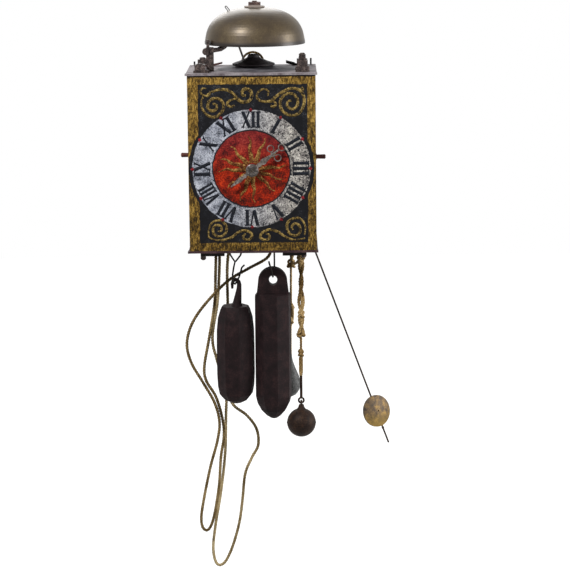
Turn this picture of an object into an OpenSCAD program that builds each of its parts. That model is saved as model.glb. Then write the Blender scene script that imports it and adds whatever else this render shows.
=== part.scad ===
// Iron wall clock with one hand: a sheet iron case, two trains of wheels, a bell, a bob pendulum,
// two iron weights parked on wire hooks, two counterweights and two slack ropes.
// Built from the front of the case backwards: x to the right, y into the case, z up from the top plate,
// then moved as a whole so that the origin is the centre of the hanging eye behind the case.

/* [Case] */
// Width of the case across the dial plate
case_w = 154; // [148:1:190]
// Height of the case over its top and bottom plates
case_h = 218; // [214:1:262]
// Depth of the case from dial plate to back plate
case_d = 120; // [118:1:146]
// Thickness of the top and bottom plates
plate_t = 2.5; // [2:0.1:4]
// How far the top and bottom plates stand out past the case
plate_lip = 1.5; // [0.5:0.1:3]
// Thickness of the dial plate, the back plate and the doors
sheet_t = 1.6; // [1.2:0.1:2.2]
// Side of the square corner posts
post_side = 8; // [6:0.5:10]
// Diameter of the round tenons at the ends of the posts
tenon_d = 6.4; // [4:0.2:7.5]
// Distance from the side of the case to the middle of a post
post_in_x = 15.5; // [12:0.5:18]
// Distance from the front or back of the case to the middle of a post
post_in_y = 16; // [14:0.5:18]

/* [Bell] */
// Outer diameter of the bell at its mouth
bell_d = 121; // [100:1:126]
// Height of the bell
bell_h = 44; // [36:1:54]
// Thickness of the bell wall
bell_wall = 2.4; // [1.6:0.1:3.2]
// Height of the mouth of the bell over the top plate
bell_lift = 31; // [29:1:38]
// Sideways place of the bell from the middle of the case
bell_x = 4; // [2:0.5:6]

/* [Dial] */
// Depth of the hand arbor below the top plate
dial_drop = 116; // [112:1:122]
// Angle of the hand, clockwise from twelve
hand_angle = 52.5; // [0:0.5:359]
// Length of the hand from its centre to the middle of its tip ring
hand_len = 45; // [38:0.5:56]
// Length of the tail of the hand
tail_len = 32; // [24:0.5:40]
// Distance of the hand in front of the dial plate
hand_gap = 7; // [3:0.5:10]

/* [Wheels] */
// Depth of the great wheel arbors below the top plate
great_drop = 162; // [160:0.5:168]
// Teeth of the going great wheel
great_teeth = 60; // [48:1:66]
// Teeth of the contrate wheel
contrate_teeth = 60; // [48:1:60]
// Teeth of the crown wheel, an odd number
crown_teeth = 27; // [21:2:33]
// Leaves of the small pinions
leaves = 6; // [6:1:7]
// Teeth of the hour wheel
hour_teeth = 72; // [60:12:72]
// Tooth size of the going great wheel, pitch diameter over teeth
great_m = 1.25; // [1.15:0.01:1.28]
// Tooth size of the contrate wheel
contrate_m = 0.8; // [0.7:0.01:0.82]
// Teeth of the striking great wheel
strike_teeth = 56; // [48:8:56]
// Leaves of the pinion on the hoop wheel
hoop_leaves = 7; // [6:1:7]
// Hammer pins on the striking great wheel
hammer_pins = 8; // [6:1:8]
// Teeth of the hoop wheel
hoop_teeth = 54; // [42:1:54]
// Tooth size of the hoop wheel
hoop_m = 0.9; // [0.8:0.01:0.95]
// Teeth of the count wheel, one for each blow in twelve hours
count_teeth = 78; // [78:1:78]
// Tooth size of the count wheel
count_m = 0.8; // [0.7:0.01:0.85]
// Diameter of the wheel arbors
arbor_d = 4.4; // [3.6:0.1:5]
// Diameter of the pivots
pivot_d = 2.4; // [1.8:0.1:3]
// Width of the three movement bars
bar_w = 14; // [12:0.5:18]
// Thickness of the three movement bars
bar_t = 4; // [3:0.5:4]
// Radius of the bottom of the rope groove
groove_r = 19.5; // [16:0.5:20]

/* [Pendulum] */
// Depth of the verge arbor below the top plate
verge_drop = 32.8; // [31:0.1:34]
// Length from the verge to the middle of the bob
pend_len = 445; // [360:1:540]
// Length of rod below the middle of the bob
rod_tail = 45; // [30:1:60]
// Angle of the pendulum at the right end of its swing, beside the right wall spur
lean = 20.3; // [16:0.1:22]
// Diameter of the pendulum rod
rod_d = 2.3; // [1.6:0.1:3]
// Diameter of the bob
bob_d = 41; // [32:1:50]
// Thickness of the bob at its middle
bob_t = 9; // [7:0.5:12]
// Turn of the bob about the rod
bob_turn = 36; // [0:1:40]

/* [Weights] */
// Width of the octagonal weights across their flats
weight_w = 42; // [34:0.5:43]
// Length of the left weight without its crook
left_len = 123; // [100:1:150]
// Length of the right weight with its eye
right_len = 191; // [160:1:210]
// Diameter of the wire of the hooks
wire_d = 2.2; // [1.6:0.1:2.3]
// Radius of the iron ball
ball_r = 18; // [14:0.5:21]
// Largest radius of the lead drop
drop_r = 13; // [10:0.5:15]

/* [Ropes] */
// Diameter of the ropes
rope_d = 3; // [2.4:0.1:3.4]

/* [Mounting] */
// Diameter of the hole in the hanging eye
eye_d = 24; // [16:0.5:26]
// Width of the iron round that hole
eye_band = 2.6; // [2.2:0.1:5]
// Thickness of the hanging eye
eye_t = 4; // [3:0.5:5]
// Height of the middle of the eye over the top plate
eye_rise = 2; // [0:0.5:6]
// Reach of the two wall spurs behind the case
spur_len = 30; // [28:1:44]
// Depth of the two wall spurs below the top plate
spur_drop = 208; // [190:1:208]

/* [Hidden] */
$fn = 48;

fit = 0.05;
gap = 0.3;
eps = 0.01;

bottom_z = -case_h;
floor_z = -case_h + plate_t;
roof_z = -plate_t;
inner_h = case_h - 2 * plate_t;
post_x = case_w / 2 - post_in_x;
post_front_y = post_in_y;
post_rear_y = case_d - post_in_y;
tenon_r = tenon_d / 2;
pin_r = 1.1;
hinge_x = case_w / 2 - 4.5;
hinge_y = case_d - 7;
back_y = case_d - sheet_t;

bar_front_y = 14;
bar_rear_y = case_d - 12 - bar_t;
bar_mid_y = 60;
dial_z = -dial_drop;
great_z = -great_drop;
verge_z = -verge_drop;
arbor_r = arbor_d / 2;
pivot_r = pivot_d / 2;

hour_m = 2 * (great_drop - dial_drop) / (hour_teeth + leaves);
second_z = great_z + great_m * (great_teeth + leaves) / 2;
strike_m = 2 * (second_z - great_z) / (strike_teeth + hoop_leaves);
fly_z = second_z + hoop_m * (hoop_teeth + leaves) / 2;
count_x = -count_m * (count_teeth + 8) / 2;
crown_y = bar_mid_y - 20;
contrate_r = contrate_m * contrate_teeth / 2;
contrate_y = crown_y + contrate_m * leaves / 2;

going_pulley_y = 26;
strike_pulley_y = 84.5;
rope_r = rope_d / 2;
spike_h = 1.2;
rope_run_r = groove_r + spike_h + gap + rope_r;
pulley_r = rope_run_r + rope_r + 1;
ratchet_r = groove_r - 1.5;
click_r = ratchet_r + 7.5;

lever_x = -38;
lift_z = -100;
lock_z = -76;
hammer_x = 28;
hammer_z = -100;
shank_y = 92;
pend_y = case_d + 11;
spur_z = -spur_drop;
spur_r = 3;
spur_x = tan(lean) * (-spur_z - verge_drop) + (spur_r + rod_d / 2 + gap) / cos(lean);

bell_y = 60;
bell_top = bell_lift + bell_h;
hat_x = 2;
disc_x = 8;
disc_r = 50;
disc_h = 3.4;

weight_y = 34;
left_x = -24;
// What hangs below the case is drawn for a case 218 high and moves with its bottom plate.
hang = bottom_z + 218;
left_top = -290 + hang;
right_x = 22.7;
right_top = -242 + hang;
wire_r = wire_d / 2;

// Proportions of a tooth: half widths at root, pitch line and tip as shares of the pitch, then
// height above and depth below the pitch line as shares of the tooth size.
WHEEL = [0.27, 0.20, 0.09, 0.85, 1.25];
LEAF = [0.15, 0.16, 0.09, 0.75, 1.25];

// The route of the going rope below the case: from its parked end at the right, up over the left
// side, round the long loop and back up into the case at the left.
GOING_ROUTE = [
    [22, 42, -218], [16, 43, -232], [-8, 45, -246], [-33, 45, -261], [-60, 44, -288],
    [-78, 44, -314], [-85, 44, -340], [-80, 44, -364], [-66, 43, -389], [-52, 43, -415],
    [-46, 43, -440], [-49, 44, -465], [-58, 46, -498], [-66, 48, -535], [-71, 48, -565],
    [-69, 48, -580], [-62, 48, -582], [-55, 48, -565], [-48, 48, -525], [-45, 48, -487],
    [-41, 48, -462], [-42, 49, -440], [-50, 50, -410], [-62, 51, -389], [-64, 51, -370],
    [-57, 52, -332], [-50, 52, -290], [-48, 46, -250], [-47, 37, -230], [-47, 34, -218]
];
// The route of the striking rope below the case, from its parked end behind the left weight.
STRIKE_ROUTE = [
    [-31, 62, -218], [-34, 62, -250], [-34, 62, -300], [-35, 62, -370], [-38, 61, -430],
    [-40, 60, -485], [-46, 60, -535], [-54, 60, -582], [-57, 60, -612], [-53, 60, -631],
    [-44, 60, -631], [-34, 60, -613], [-24, 60, -580], [-19, 60, -548], [-15, 60, -513],
    [-6, 60, -491], [2, 60, -475], [0, 60, -454], [-12, 62, -437], [-29, 66, -424],
    [-38, 68, -402], [-49, 69, -366], [-54, 68, -337], [-47, 67, -292], [-44, 71, -250],
    [-44, 80, -230], [-45, 84.5, -218]
];
BALL_ROUTE = [
    [58, 34, -218.6], [58, 34, -230], [58, 34, -232], [57.3, 34, -326], [57.1, 34, -330],
    [56.8, 34, -352], [56.8, 34, -354], [56.8, 34, -375], [56.8, 34, -377]
];
BALL_SWELL = [1, 1, 1.85, 1.85, 1, 1, 2.1, 2.1, 1.5];
LEAD_ROUTE = [
    [46, 84.5, -218.6], [45.5, 84.5, -245], [44.6, 84.5, -317], [44.4, 84.5, -320],
    [44.2, 84.5, -330], [44, 84.5, -334], [44, 84.5, -362.7]
];
LEAD_SWELL = [1, 1, 1, 1.7, 1.7, 1, 1];
going_out_l = GOING_ROUTE[len(GOING_ROUTE) - 1] + [0, 0, hang];
strike_out_l = STRIKE_ROUTE[len(STRIKE_ROUTE) - 1] + [0, 0, hang];
going_out_r = [BALL_ROUTE[0][0], BALL_ROUTE[0][1], bottom_z];
strike_out_r = [LEAD_ROUTE[0][0], LEAD_ROUTE[0][1], bottom_z];

function lowered(points) = [for (p = points) p + [0, 0, hang]];
function unit(v) = v / norm(v);
function pick(list, i) = list[max(0, min(len(list) - 1, i))];

// Outline of a toothed wheel as points round its centre.
function teeth(n, m, shape) = [
    for (i = [0:n - 1], s = [[-shape[0], -shape[4]], [-shape[1], 0], [-shape[2], shape[3]],
                             [shape[2], shape[3]], [shape[1], 0], [shape[0], -shape[4]]])
        (n / 2 + s[1]) * m * [cos((i + s[0]) * 360 / n), sin((i + s[0]) * 360 / n)]
];

// A round tube of given radii along points, with sides corners and closed flat ends.
module tube(points, radii, sides = 8, ref = [0, 1, 0]) {
    n = len(points);
    dirs = [for (i = [0:n - 1]) unit(pick(points, i + 1) - pick(points, i - 1))];
    ups = [for (d = dirs) unit(cross(ref, d))];
    skin = [
        for (i = [0:n - 1], k = [0:sides - 1])
            points[i] + radii[i] * (ups[i] * cos(k * 360 / sides)
                                    + cross(dirs[i], ups[i]) * sin(k * 360 / sides))
    ];
    walls = [
        for (i = [0:n - 2], k = [0:sides - 1], half = [0, 1])
            let (a = i * sides + k, b = i * sides + (k + 1) % sides)
            half == 0 ? [a, a + sides, b] : [b, a + sides, b + sides]
    ];
    ends = [for (k = [1:sides - 2], e = [0, 1]) e == 0
            ? [0, k, k + 1]
            : [(n - 1) * sides, (n - 1) * sides + k + 1, (n - 1) * sides + k]];
    polyhedron(points = skin, faces = concat(walls, ends), convexity = 10);
}

function steady(points, r) = [for (p = points) r];

// Everything is drawn from the front of the case and moved here to the hanging eye.
module placed() {
    translate([0, -(case_d + 0.5 + eye_t / 2), -eye_rise]) children();
}

// A flat piece that lies in a plane across the case, from y to y + t.
module upright(x, y, z, t) {
    translate([x, y + t, z]) rotate([90, 0, 0]) linear_extrude(t) children();
}

// A round rod from front to back.
module rod_y(x, z, y0, y1, r) {
    translate([x, y0, z]) rotate([-90, 0, 0]) cylinder(h = y1 - y0, r = r);
}

// A flat bar with round ends between two places, from width w0 to width w1.
module link2d(a, b, w0, w1) {
    side = [a[1] - b[1], b[0] - a[0]] / norm(b - a) * 0.48;
    polygon([a + side * w0, a - side * w0, b - side * w1, b + side * w1]);
    translate(a) circle(d = w0);
    translate(b) circle(d = w1);
}

// A crossed-out wheel: toothed rim, hub and four arms.
module wheel2d(n, m, hub_r, arm_w, rim_w, turn = 0) {
    rim_in = (n / 2 - WHEEL[4]) * m - rim_w;
    difference() {
        rotate(turn) polygon(teeth(n, m, WHEEL));
        difference() {
            circle(r = rim_in);
            circle(r = hub_r);
            square([arm_w, 2 * rim_in], center = true);
            square([2 * rim_in, arm_w], center = true);
        }
    }
}

module plate_blank() {
    w = case_w / 2 + plate_lip;
    linear_extrude(plate_t) polygon([
        [-w - 0.9, -plate_lip - 0.7], [-w + 12, -plate_lip], [w - 8, -plate_lip],
        [w + 0.5, -plate_lip - 0.4], [w, 12], [w, case_d], [-w, case_d], [-w, 12]
    ]);
}

module post_places() {
    for (x = [-post_x, post_x], y = [post_front_y, post_rear_y]) translate([x, y, 0]) children();
}

module bar_places() {
    for (y = [bar_front_y, bar_mid_y, bar_rear_y]) translate([0, y, 0]) children();
}

module bar_tenon(clear) {
    translate([-bar_w / 2 + 3 - clear, -clear, -50]) cube([bar_w - 6 + 2 * clear, bar_t + 2 * clear, 100]);
}

module hinge_holes() {
    for (x = [-hinge_x, hinge_x]) translate([x, hinge_y, -50]) cylinder(h = 100, r = pin_r + fit);
}

module top_plate() {
    color("#8f8790") placed() difference() {
        translate([0, 0, roof_z]) plate_blank();
        post_places() translate([0, 0, -10]) cylinder(h = 20, r = tenon_r + fit);
        bar_places() bar_tenon(fit);
        hinge_holes();
        hammer_slot();
    }
}

// The slot that lets the hammer shank through, long enough for its lift.
module hammer_slot() {
    translate([-11.5, shank_y - 3.2, -20]) cube([23.5, 6.4, 40]);
}

module bottom_plate() {
    color("#5a4650") placed() difference() {
        translate([0, 0, bottom_z]) plate_blank();
        post_places() translate([0, 0, bottom_z - 10]) cylinder(h = 20, r = tenon_r + fit);
        bar_places() translate([0, 0, bottom_z]) bar_tenon(fit);
        translate([0, 0, bottom_z]) hinge_holes();
        for (p = [GOING_ROUTE[0], STRIKE_ROUTE[0], going_out_l, strike_out_l, going_out_r, strike_out_r])
            translate([p[0], p[1], bottom_z - 10]) cylinder(h = 20, r = rope_r + 1.5);
        for (x = [left_x - 8, left_x + 10, right_x + 2.4])
            translate([x - wire_r - 0.6, weight_y - wire_r - 1, bottom_z - 10])
                cube([wire_d + 1.2, wire_d + 2, 20]);
    }
}

module corner_posts() {
    color("#4a3c38") placed() post_places() {
        translate([-post_side / 2, -post_side / 2, floor_z]) cube([post_side, post_side, inner_h]);
    }
    color("#4a3c38") placed() {
        tenon_up(-post_x, post_front_y, 11);
        tenon_up(post_x, post_front_y, 22.5);
        tenon_up(-post_x, post_rear_y, 11);
        tenon_up(post_x, post_rear_y, 11);
        tenon_down(-post_x, post_front_y, 11.5, 3.7);
        tenon_down(post_x, post_front_y, 9.5, 3.3);
        tenon_down(-post_x, post_rear_y, 3.5, 4.6);
        tenon_down(post_x, post_rear_y, 3.5, 4.6);
    }
}

module tenon_up(x, y, rise) {
    translate([x, y, roof_z - eps]) cylinder(h = plate_t + rise - 1 + eps, r = tenon_r);
    translate([x, y, rise - 1]) cylinder(h = 1, r1 = tenon_r, r2 = tenon_r - 0.8);
}

// A tenon that is riveted over below: the last of it swells to a rounded head.
module tenon_down(x, y, drop, head_r) {
    head_h = 3;
    translate([x, y, bottom_z - drop + head_h]) cylinder(h = drop - head_h + plate_t + eps, r = tenon_r);
    translate([x, y, bottom_z - drop]) rotate_extrude() intersection() {
        translate([0, head_r]) circle(r = head_r);
        square([head_r, head_h]);
    }
}

// Square nut with trimmed corners round a tenon.
module square_nut(x, y, z, side, h) {
    translate([x, y, z]) difference() {
        intersection() {
            translate([-side / 2, -side / 2, 0]) cube([side, side, h]);
            cylinder(h = h, r = side * 0.66);
            translate([0, 0, -side * 0.25]) cylinder(h = h + side * 0.25, r1 = side * 1.2, r2 = side * 0.61);
        }
        translate([0, 0, -1]) cylinder(h = h + 2, r = tenon_r + fit);
    }
}

module post_nuts() {
    color("#5c4c48") placed() {
        square_nut(post_x, post_front_y, 0, 17, 6.6);
        square_nut(post_x, post_front_y, 6.6, 12.8, 7.2);
        square_nut(-post_x, post_front_y, 3, 13, 6.5);
        square_nut(-post_x, post_rear_y, 2.2, 13, 6);
        square_nut(post_x, post_rear_y, 2.2, 13, 6);
    }
}

pin_top_z = -29;
pin_low_z = bottom_z + 18;

module dial_plate() {
    color("#24242a") placed() difference() {
        translate([-case_w / 2, 0, floor_z + 0.2]) cube([case_w, sheet_t, inner_h - 0.4]);
        rod_y(0, dial_z, -5, 5, arbor_r + fit);
        for (z = [pin_top_z, pin_low_z]) rod_y(0, z, -5, 5, pin_r + fit);
    }
}

// Two pins that hold the dial plate on the front bar, with small flat heads.
module dial_pins() {
    color("#1c1a1c") placed() for (z = [pin_top_z, pin_low_z]) {
        rod_y(0, z, -eps, bar_front_y, pin_r);
        rod_y(0, z, -0.7, 0, pin_r + 0.4);
    }
}

module back_plate() {
    color("#4d4440") placed() {
        difference() {
            translate([-case_w / 2, back_y, floor_z + 0.2]) cube([case_w, sheet_t, inner_h - 0.4]);
            rod_y(0, verge_z, back_y - 5, case_d + 5, 3.4);
            rod_y(0, great_z, back_y - 5, case_d + 5, 4.2);
            rod_y(lever_x, lock_z, back_y - 5, case_d + 5, 4.2);
        }
        rod_y(count_x, great_z, case_d - eps, case_d + 6.6, 2);
    }
}

// A movement bar: an upright strap with flush tenons through both plates and side branches.
module bar(y, branches) {
    upright(0, y, 0, bar_t) {
        translate([-bar_w / 2, floor_z]) square([bar_w, inner_h]);
        translate([-bar_w / 2 + 3, bottom_z]) square([bar_w - 6, case_h]);
        for (b = branches) link2d([0, b[1]], b, 11, 9);
    }
}

module pivot_hole(x, z, y, r = pivot_r) {
    rod_y(x, z, y - 1, y + bar_t + 1, r + fit);
}

module front_bar() {
    color("#3f3735") placed() difference() {
        bar(bar_front_y, [[lever_x, lift_z]]);
        pivot_hole(0, great_z, bar_front_y, 2);
        pivot_hole(0, dial_z, bar_front_y, 1.5);
        pivot_hole(0, second_z, bar_front_y);
        pivot_hole(0, verge_z, bar_front_y);
        pivot_hole(lever_x, lift_z, bar_front_y, 1.5);
    }
}

module middle_bar() {
    color("#3f3735") placed() difference() {
        bar(bar_mid_y, [[lever_x, lift_z], [lever_x, lock_z], [hammer_x, hammer_z]]);
        pivot_hole(0, great_z, bar_mid_y);
        pivot_hole(0, second_z, bar_mid_y);
        pivot_hole(0, fly_z, bar_mid_y, 0.9);
        pivot_hole(0, verge_z, bar_mid_y, 3);
        pivot_hole(lever_x, lift_z, bar_mid_y, 1.5);
        pivot_hole(lever_x, lock_z, bar_mid_y);
        pivot_hole(hammer_x, hammer_z, bar_mid_y);
    }
}

module rear_bar() {
    color("#3f3735") placed() difference() {
        bar(bar_rear_y, [[lever_x, lock_z], [hammer_x, hammer_z]]);
        pivot_hole(0, great_z, bar_rear_y, 2);
        pivot_hole(0, second_z, bar_rear_y);
        pivot_hole(0, fly_z, bar_rear_y, 0.9);
        pivot_hole(0, verge_z, bar_rear_y, 3);
        pivot_hole(lever_x, lock_z, bar_rear_y, 2);
        pivot_hole(hammer_x, hammer_z, bar_rear_y);
    }
}

crown_r = 14;
crown_tip_z = verge_z - 5.7;
crown_disc_z = crown_tip_z - 13;
potence_low_z = second_z + contrate_r - 4;
potence_up_z = crown_disc_z - 4;
arm_t = 3;

// The bracket on the front bar whose two arms carry the upright crown wheel arbor.
module potence() {
    y0 = bar_front_y + bar_t;
    color("#4a403c") placed() difference() {
        union() {
            translate([-4, y0, potence_low_z - 8]) cube([8, 2, potence_up_z - potence_low_z + 12]);
            for (z = [potence_low_z - arm_t, potence_up_z - arm_t])
                translate([-3.5, y0 + 2 - eps, z]) cube([7, crown_y - y0 + 0.5, arm_t]);
        }
        translate([0, crown_y, potence_low_z - arm_t - 1]) cylinder(h = arm_t + 2, r = 0.9 + fit);
        translate([0, crown_y, potence_up_z - arm_t - 1]) cylinder(h = arm_t + 2, r = 1.5 + fit);
    }
}

// The cock on the back plate that carries the rear pivot of the verge.
module verge_cock() {
    color("#4a403c") placed() difference() {
        union() {
            upright(0, case_d + 4, verge_z, 3) {
                circle(r = 5);
                translate([-4, -13]) square([8, 13]);
            }
            upright(0, case_d, verge_z, 4 + eps) translate([-4, -19]) square([8, 8]);
            upright(0, case_d, verge_z, 2) translate([-4, -25]) square([8, 12]);
        }
        rod_y(0, verge_z, case_d - 1, case_d + 9, 1.5 + fit);
    }
}

// The eye that hangs the clock on a nail or hook, on a short strap riveted behind the back plate.
module hanging_eye() {
    strap_low = verge_z + 7;
    color("#8a6f3c") placed() {
        upright(0, case_d + 0.5, 0, eye_t) difference() {
            union() {
                translate([0, eye_rise]) circle(r = eye_d / 2 + eye_band, $fn = 96);
                translate([-5, strap_low]) square([10, eye_rise - strap_low]);
            }
            translate([0, eye_rise]) circle(r = eye_d / 2, $fn = 96);
        }
        for (z = [strap_low + 3, strap_low + 9]) rod_y(0, z, case_d, case_d + 0.5 + eps, 2.4);
    }
}

// Two pointed spurs that hold the case off the wall, so that the pendulum can swing behind it.
module wall_spurs() {
    color("#3c3432") placed() for (x = [-spur_x, spur_x]) {
        rod_y(x, spur_z, case_d, case_d + 2, 5.5);
        rod_y(x, spur_z, case_d + 2 - eps, case_d + spur_len - 7, spur_r);
        translate([x, case_d + spur_len - 7 - eps, spur_z]) rotate([-90, 0, 0])
            cylinder(h = 7, r1 = spur_r, r2 = 0.6);
    }
}

// Two flat bars under the bottom plate, riveted on the front posts.
module under_straps() {
    color("#3c3230") placed() for (s = [-1, 1]) difference() {
        translate([s * post_x - (s < 0 ? 3 : 26), post_front_y - 6.5, bottom_z - 5.5]) cube([29, 12, 5.5]);
        translate([s * post_x, post_front_y, bottom_z - 10]) cylinder(h = 20, r = tenon_r + fit);
    }
}

// Two iron tongues held under the rear nuts, with their free ends bent up; the left one is longer.
module rear_straps() {
    color("#4e2626") placed() for (s = [-1, 1]) let (tongue = s < 0 ? 24 : 20, end_t = s < 0 ? 1.8 : 3.2) difference() {
        union() {
            translate([s * post_x, post_rear_y, 0]) cylinder(h = 2.2, r = 7);
            translate([s * post_x, post_rear_y + 3.5, 0]) rotate([90, 0, 0]) linear_extrude(7) polygon([
                [0, 0], [-s * tongue * 0.5, 0], [-s * tongue, 3], [-s * tongue, 3 + end_t],
                [-s * tongue * 0.5, end_t + 0.5], [-s * 7.6, 2.2], [0, 2.2]
            ]);
        }
        translate([s * post_x, post_rear_y, -1]) cylinder(h = 5, r = tenon_r + fit);
    }
}

module hinge_pins() {
    color("#2e2826") placed() {
        translate([hinge_x, hinge_y, bottom_z - 1]) cylinder(h = case_h + 9, r = pin_r);
        translate([-hinge_x, hinge_y, bottom_z - 1]) cylinder(h = case_h + 6, r = pin_r);
    }
}

stand_x = 9.5 - post_x;
stand_y = 30;
stand_turn = atan2(bell_y - stand_y, bell_x - stand_x);
stand_reach = norm([bell_x - stand_x, bell_y - stand_y]);
arm_top = bell_top - bell_wall - gap - 0.1;

// The arm starts to rise where it has passed under the rim of the bell.
rise_at = stand_reach - bell_d / 2 + bell_wall + 8;

// Height of the top of the bell arm at a distance from its post.
function arm_rise(s) = let (u = min(1, max(0, s - rise_at) / (stand_reach - rise_at - 9)))
    bell_lift - 3.4 + (arm_top - bell_lift + 3.4) * u * u * (2.2 - 1.2 * u);

module bell_stand() {
    steps = 14;
    over = [for (i = [0:steps]) let (s = i * (stand_reach + 5) / steps) [s, arm_rise(s)]];
    under = [for (i = [0:steps]) let (s = i * (stand_reach + 5) / steps)
             [s + 1.2 * sin(180 * i / steps), arm_rise(s) - 5.4 + 2.2 * min(1, i / 4)]];
    outline = concat(over, [for (i = [0:steps]) under[steps - i]]);
    color("#4a423f") placed() difference() {
        union() {
            translate([stand_x - 2.6, stand_y - 3, 0]) cube([9.1, 6, bell_lift - 2]);
            translate([stand_x - 2 - max(0, bell_d / 2 - 60.5), stand_y - 3, bell_lift - 2 - eps]) cube([3.6, 3.6, 9]);
            translate([-post_x - 8, post_front_y - 8, 0]) cube([19, stand_y - post_front_y + 11, 3]);
            translate([stand_x, stand_y, 0]) rotate([0, 0, stand_turn]) translate([0, 5, 0])
                rotate([90, 0, 0]) linear_extrude(10) polygon(outline);
            translate([stand_x - 2.8, stand_y - 5.2, bell_lift - 7]) rotate([-90, 0, 0]) cylinder(h = 8, r = 4.2);
            translate([stand_x + 2, stand_y - 5, 5]) rotate([-90, 0, 0]) cylinder(h = 4, r = 3);
        }
        translate([-post_x, post_front_y, -1]) cylinder(h = 6, r = tenon_r + fit);
        translate([bell_x, bell_y, 0]) cylinder(h = 100, r = 3 + fit);
    }
}

// Half profile of the outside of the bell, from mouth to crown, drawn in by t.
function bell_curve(t, n) = [
    for (i = [0:n]) let (a = 90 * i / n)
        [(bell_d / 2 - t) * pow(cos(a), 0.833), (bell_h - t) * pow(sin(a), 0.833)]
];

module bell() {
    n = 20;
    outer = bell_curve(0, n);
    inner = bell_curve(bell_wall, n);
    lip = [[bell_d / 2 + 0.7, 0], [bell_d / 2 + 0.7, 2.6]];
    color("#6f6248") placed() translate([bell_x, bell_y, bell_lift]) difference() {
        rotate_extrude($fn = 96) polygon(concat(
            [[inner[0][0], 0]], lip, [for (i = [2:n]) outer[i]], [for (i = [0:n - 1]) inner[n - i]]
        ));
        cylinder(h = 100, r = 3 + fit);
        staple_place() translate([0, 0, -9]) cylinder(h = 18, r = 1.8);
    }
}

// Where the wire staple goes through the left shoulder of the bell.
module staple_place() {
    translate([-31, 0, bell_h * 0.9]) rotate([0, -38, 0]) children();
}

module bell_staple() {
    wire = concat([[-1.05, 0, -5], [-1.05, 0, 5]],
                  [for (a = [150:-30:30]) [1.05 * cos(a), 0, 6 + 1.05 * sin(a)]],
                  [[1.05, 0, 5], [1.05, 0, -5]]);
    color("#55504c") placed() translate([bell_x, bell_y, bell_lift]) staple_place()
        tube(wire, steady(wire, 0.55));
}

module bell_nut() {
    color("#6b4a3a") placed() translate([bell_x, bell_y, bell_top]) {
        cylinder(h = 1.2, r = 12.5);
        translate([0, 0, 1.2 - eps]) intersection() {
            translate([-7.4, -7.4, 0]) cube([14.8, 14.8, 4.8]);
            cylinder(h = 4.8, r1 = 10.4, r2 = 9);
        }
        translate([0, 0, -bell_wall - 6]) cylinder(h = bell_wall + 6 + 7.6, r = 3);
        translate([0, 0, -bell_wall - 8.4]) cylinder(h = 2.6, r = 5.6);
    }
}

// A shallow domed steel disc that lies on the top plate under the bell.
module dust_plate() {
    n = 10;
    color("#66666c") placed() difference() {
        translate([disc_x, bell_y, 0]) rotate_extrude($fn = 96) polygon(concat(
            [[0, 0]], [for (i = [0:n]) let (r = disc_r * (1 - i / n)) [r, 0.4 + (disc_h - 0.4) * (1 - pow(r / disc_r, 2))]]
        ));
        hammer_slot();
    }
}

// The hat-shaped turned iron cap that stands on the domed disc.
module cap() {
    z0 = disc_h - 0.4;
    color("#34323a") placed() translate([hat_x, bell_y, 0]) rotate_extrude($fn = 72) polygon([
        [0, z0 + 0.4], [4, z0 + 0.4], [4, z0 + 1], [24.6, z0 + 1.2], [26, z0 + 2.4], [26, z0 + 3.6], [24.8, z0 + 4.2],
        [16, z0 + 7.2], [9, z0 + 10.2], [7.4, z0 + 11.6], [6.9, z0 + 13.8], [5.6, z0 + 15], [0, z0 + 15.2]
    ]);
}

// A click ratchet as saw teeth.
module ratchet2d(n, r, depth) {
    polygon([for (i = [0:n - 1], k = [0, 1])
             let (a = -(i + (k == 0 ? 0 : 0.02)) * 360 / n, q = k == 0 ? r : r - depth) q * [cos(a), sin(a)]]);
}

// A rope pulley with its ratchet: dir is the side of the ratchet, 1 behind and -1 in front.
module pulley(y, dir) {
    half = 5.2;
    color("#5a5048") placed() difference() {
        union() {
            translate([0, y, great_z]) rotate([-90, 0, 0]) rotate_extrude($fn = 72) polygon([
                [arbor_r + 0.5, -half], [pulley_r, -half], [pulley_r, -half + 1.4], [groove_r, -2.2],
                [groove_r, 2.2], [pulley_r, half - 1.4], [pulley_r, half], [arbor_r + 0.5, half]
            ]);
            for (i = [0:11]) translate([0, y, great_z]) rotate([0, 30 * i, 0])
                translate([0, 0, groove_r - 0.3]) cylinder(h = spike_h + 0.3, r1 = 1.1, r2 = 0.5, $fn = 16);
            upright(0, dir > 0 ? y + half - eps : y - half - 3 + eps, great_z, 3) ratchet2d(18, ratchet_r, 2.4);
        }
        rod_y(0, great_z, y - 20, y + 20, arbor_r + fit);
    }
}

module going_pulley() {
    pulley(going_pulley_y, 1);
}

module strike_pulley() {
    pulley(strike_pulley_y, -1);
}

click_turn = 0;

// Place of the click stud on a great wheel.
function click_at() = click_r * [cos(click_turn), sin(click_turn)];

module click_shape(bore) {
    difference() {
        union() {
            circle(r = 3.4);
            rotate(click_turn + 180 + 40) polygon([[0, 3.2], [0, -1], [5.6, -2.2], [11, 0], [7, 2.6]]);
        }
        circle(r = bore);
    }
}

module going_click() {
    p = click_at();
    color("#6a6058") placed() upright(p[0], going_great_y - 3.1, great_z + p[1], 2.6) click_shape(1.2 + fit);
}

module strike_click() {
    p = click_at();
    color("#6a6058") placed() upright(p[0], strike_great_y + wheel_t + 0.5, great_z + p[1], 2.6)
        click_shape(1.2 + fit);
}

wheel_t = 3;
going_great_y = going_pulley_y + 5.2 + 3 + 0.5;
strike_great_y = strike_pulley_y - 5.2 - 3 - 0.5 - wheel_t;

// Stud of a click on the arm of its great wheel, and its leaf spring on the rim.
module click_fixings(y, h, rim_r) {
    p = click_at();
    foot = [sqrt(rim_r * rim_r - 169), 13];
    rod_y(p[0], great_z + p[1], y, y + h, 1.2);
    upright(0, y, great_z, h) rotate(click_turn) {
        link2d(foot, [click_r + 2.2, 4.6], 1.2, 0.9);
        translate(foot) circle(r = 1.7);
    }
}

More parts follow.
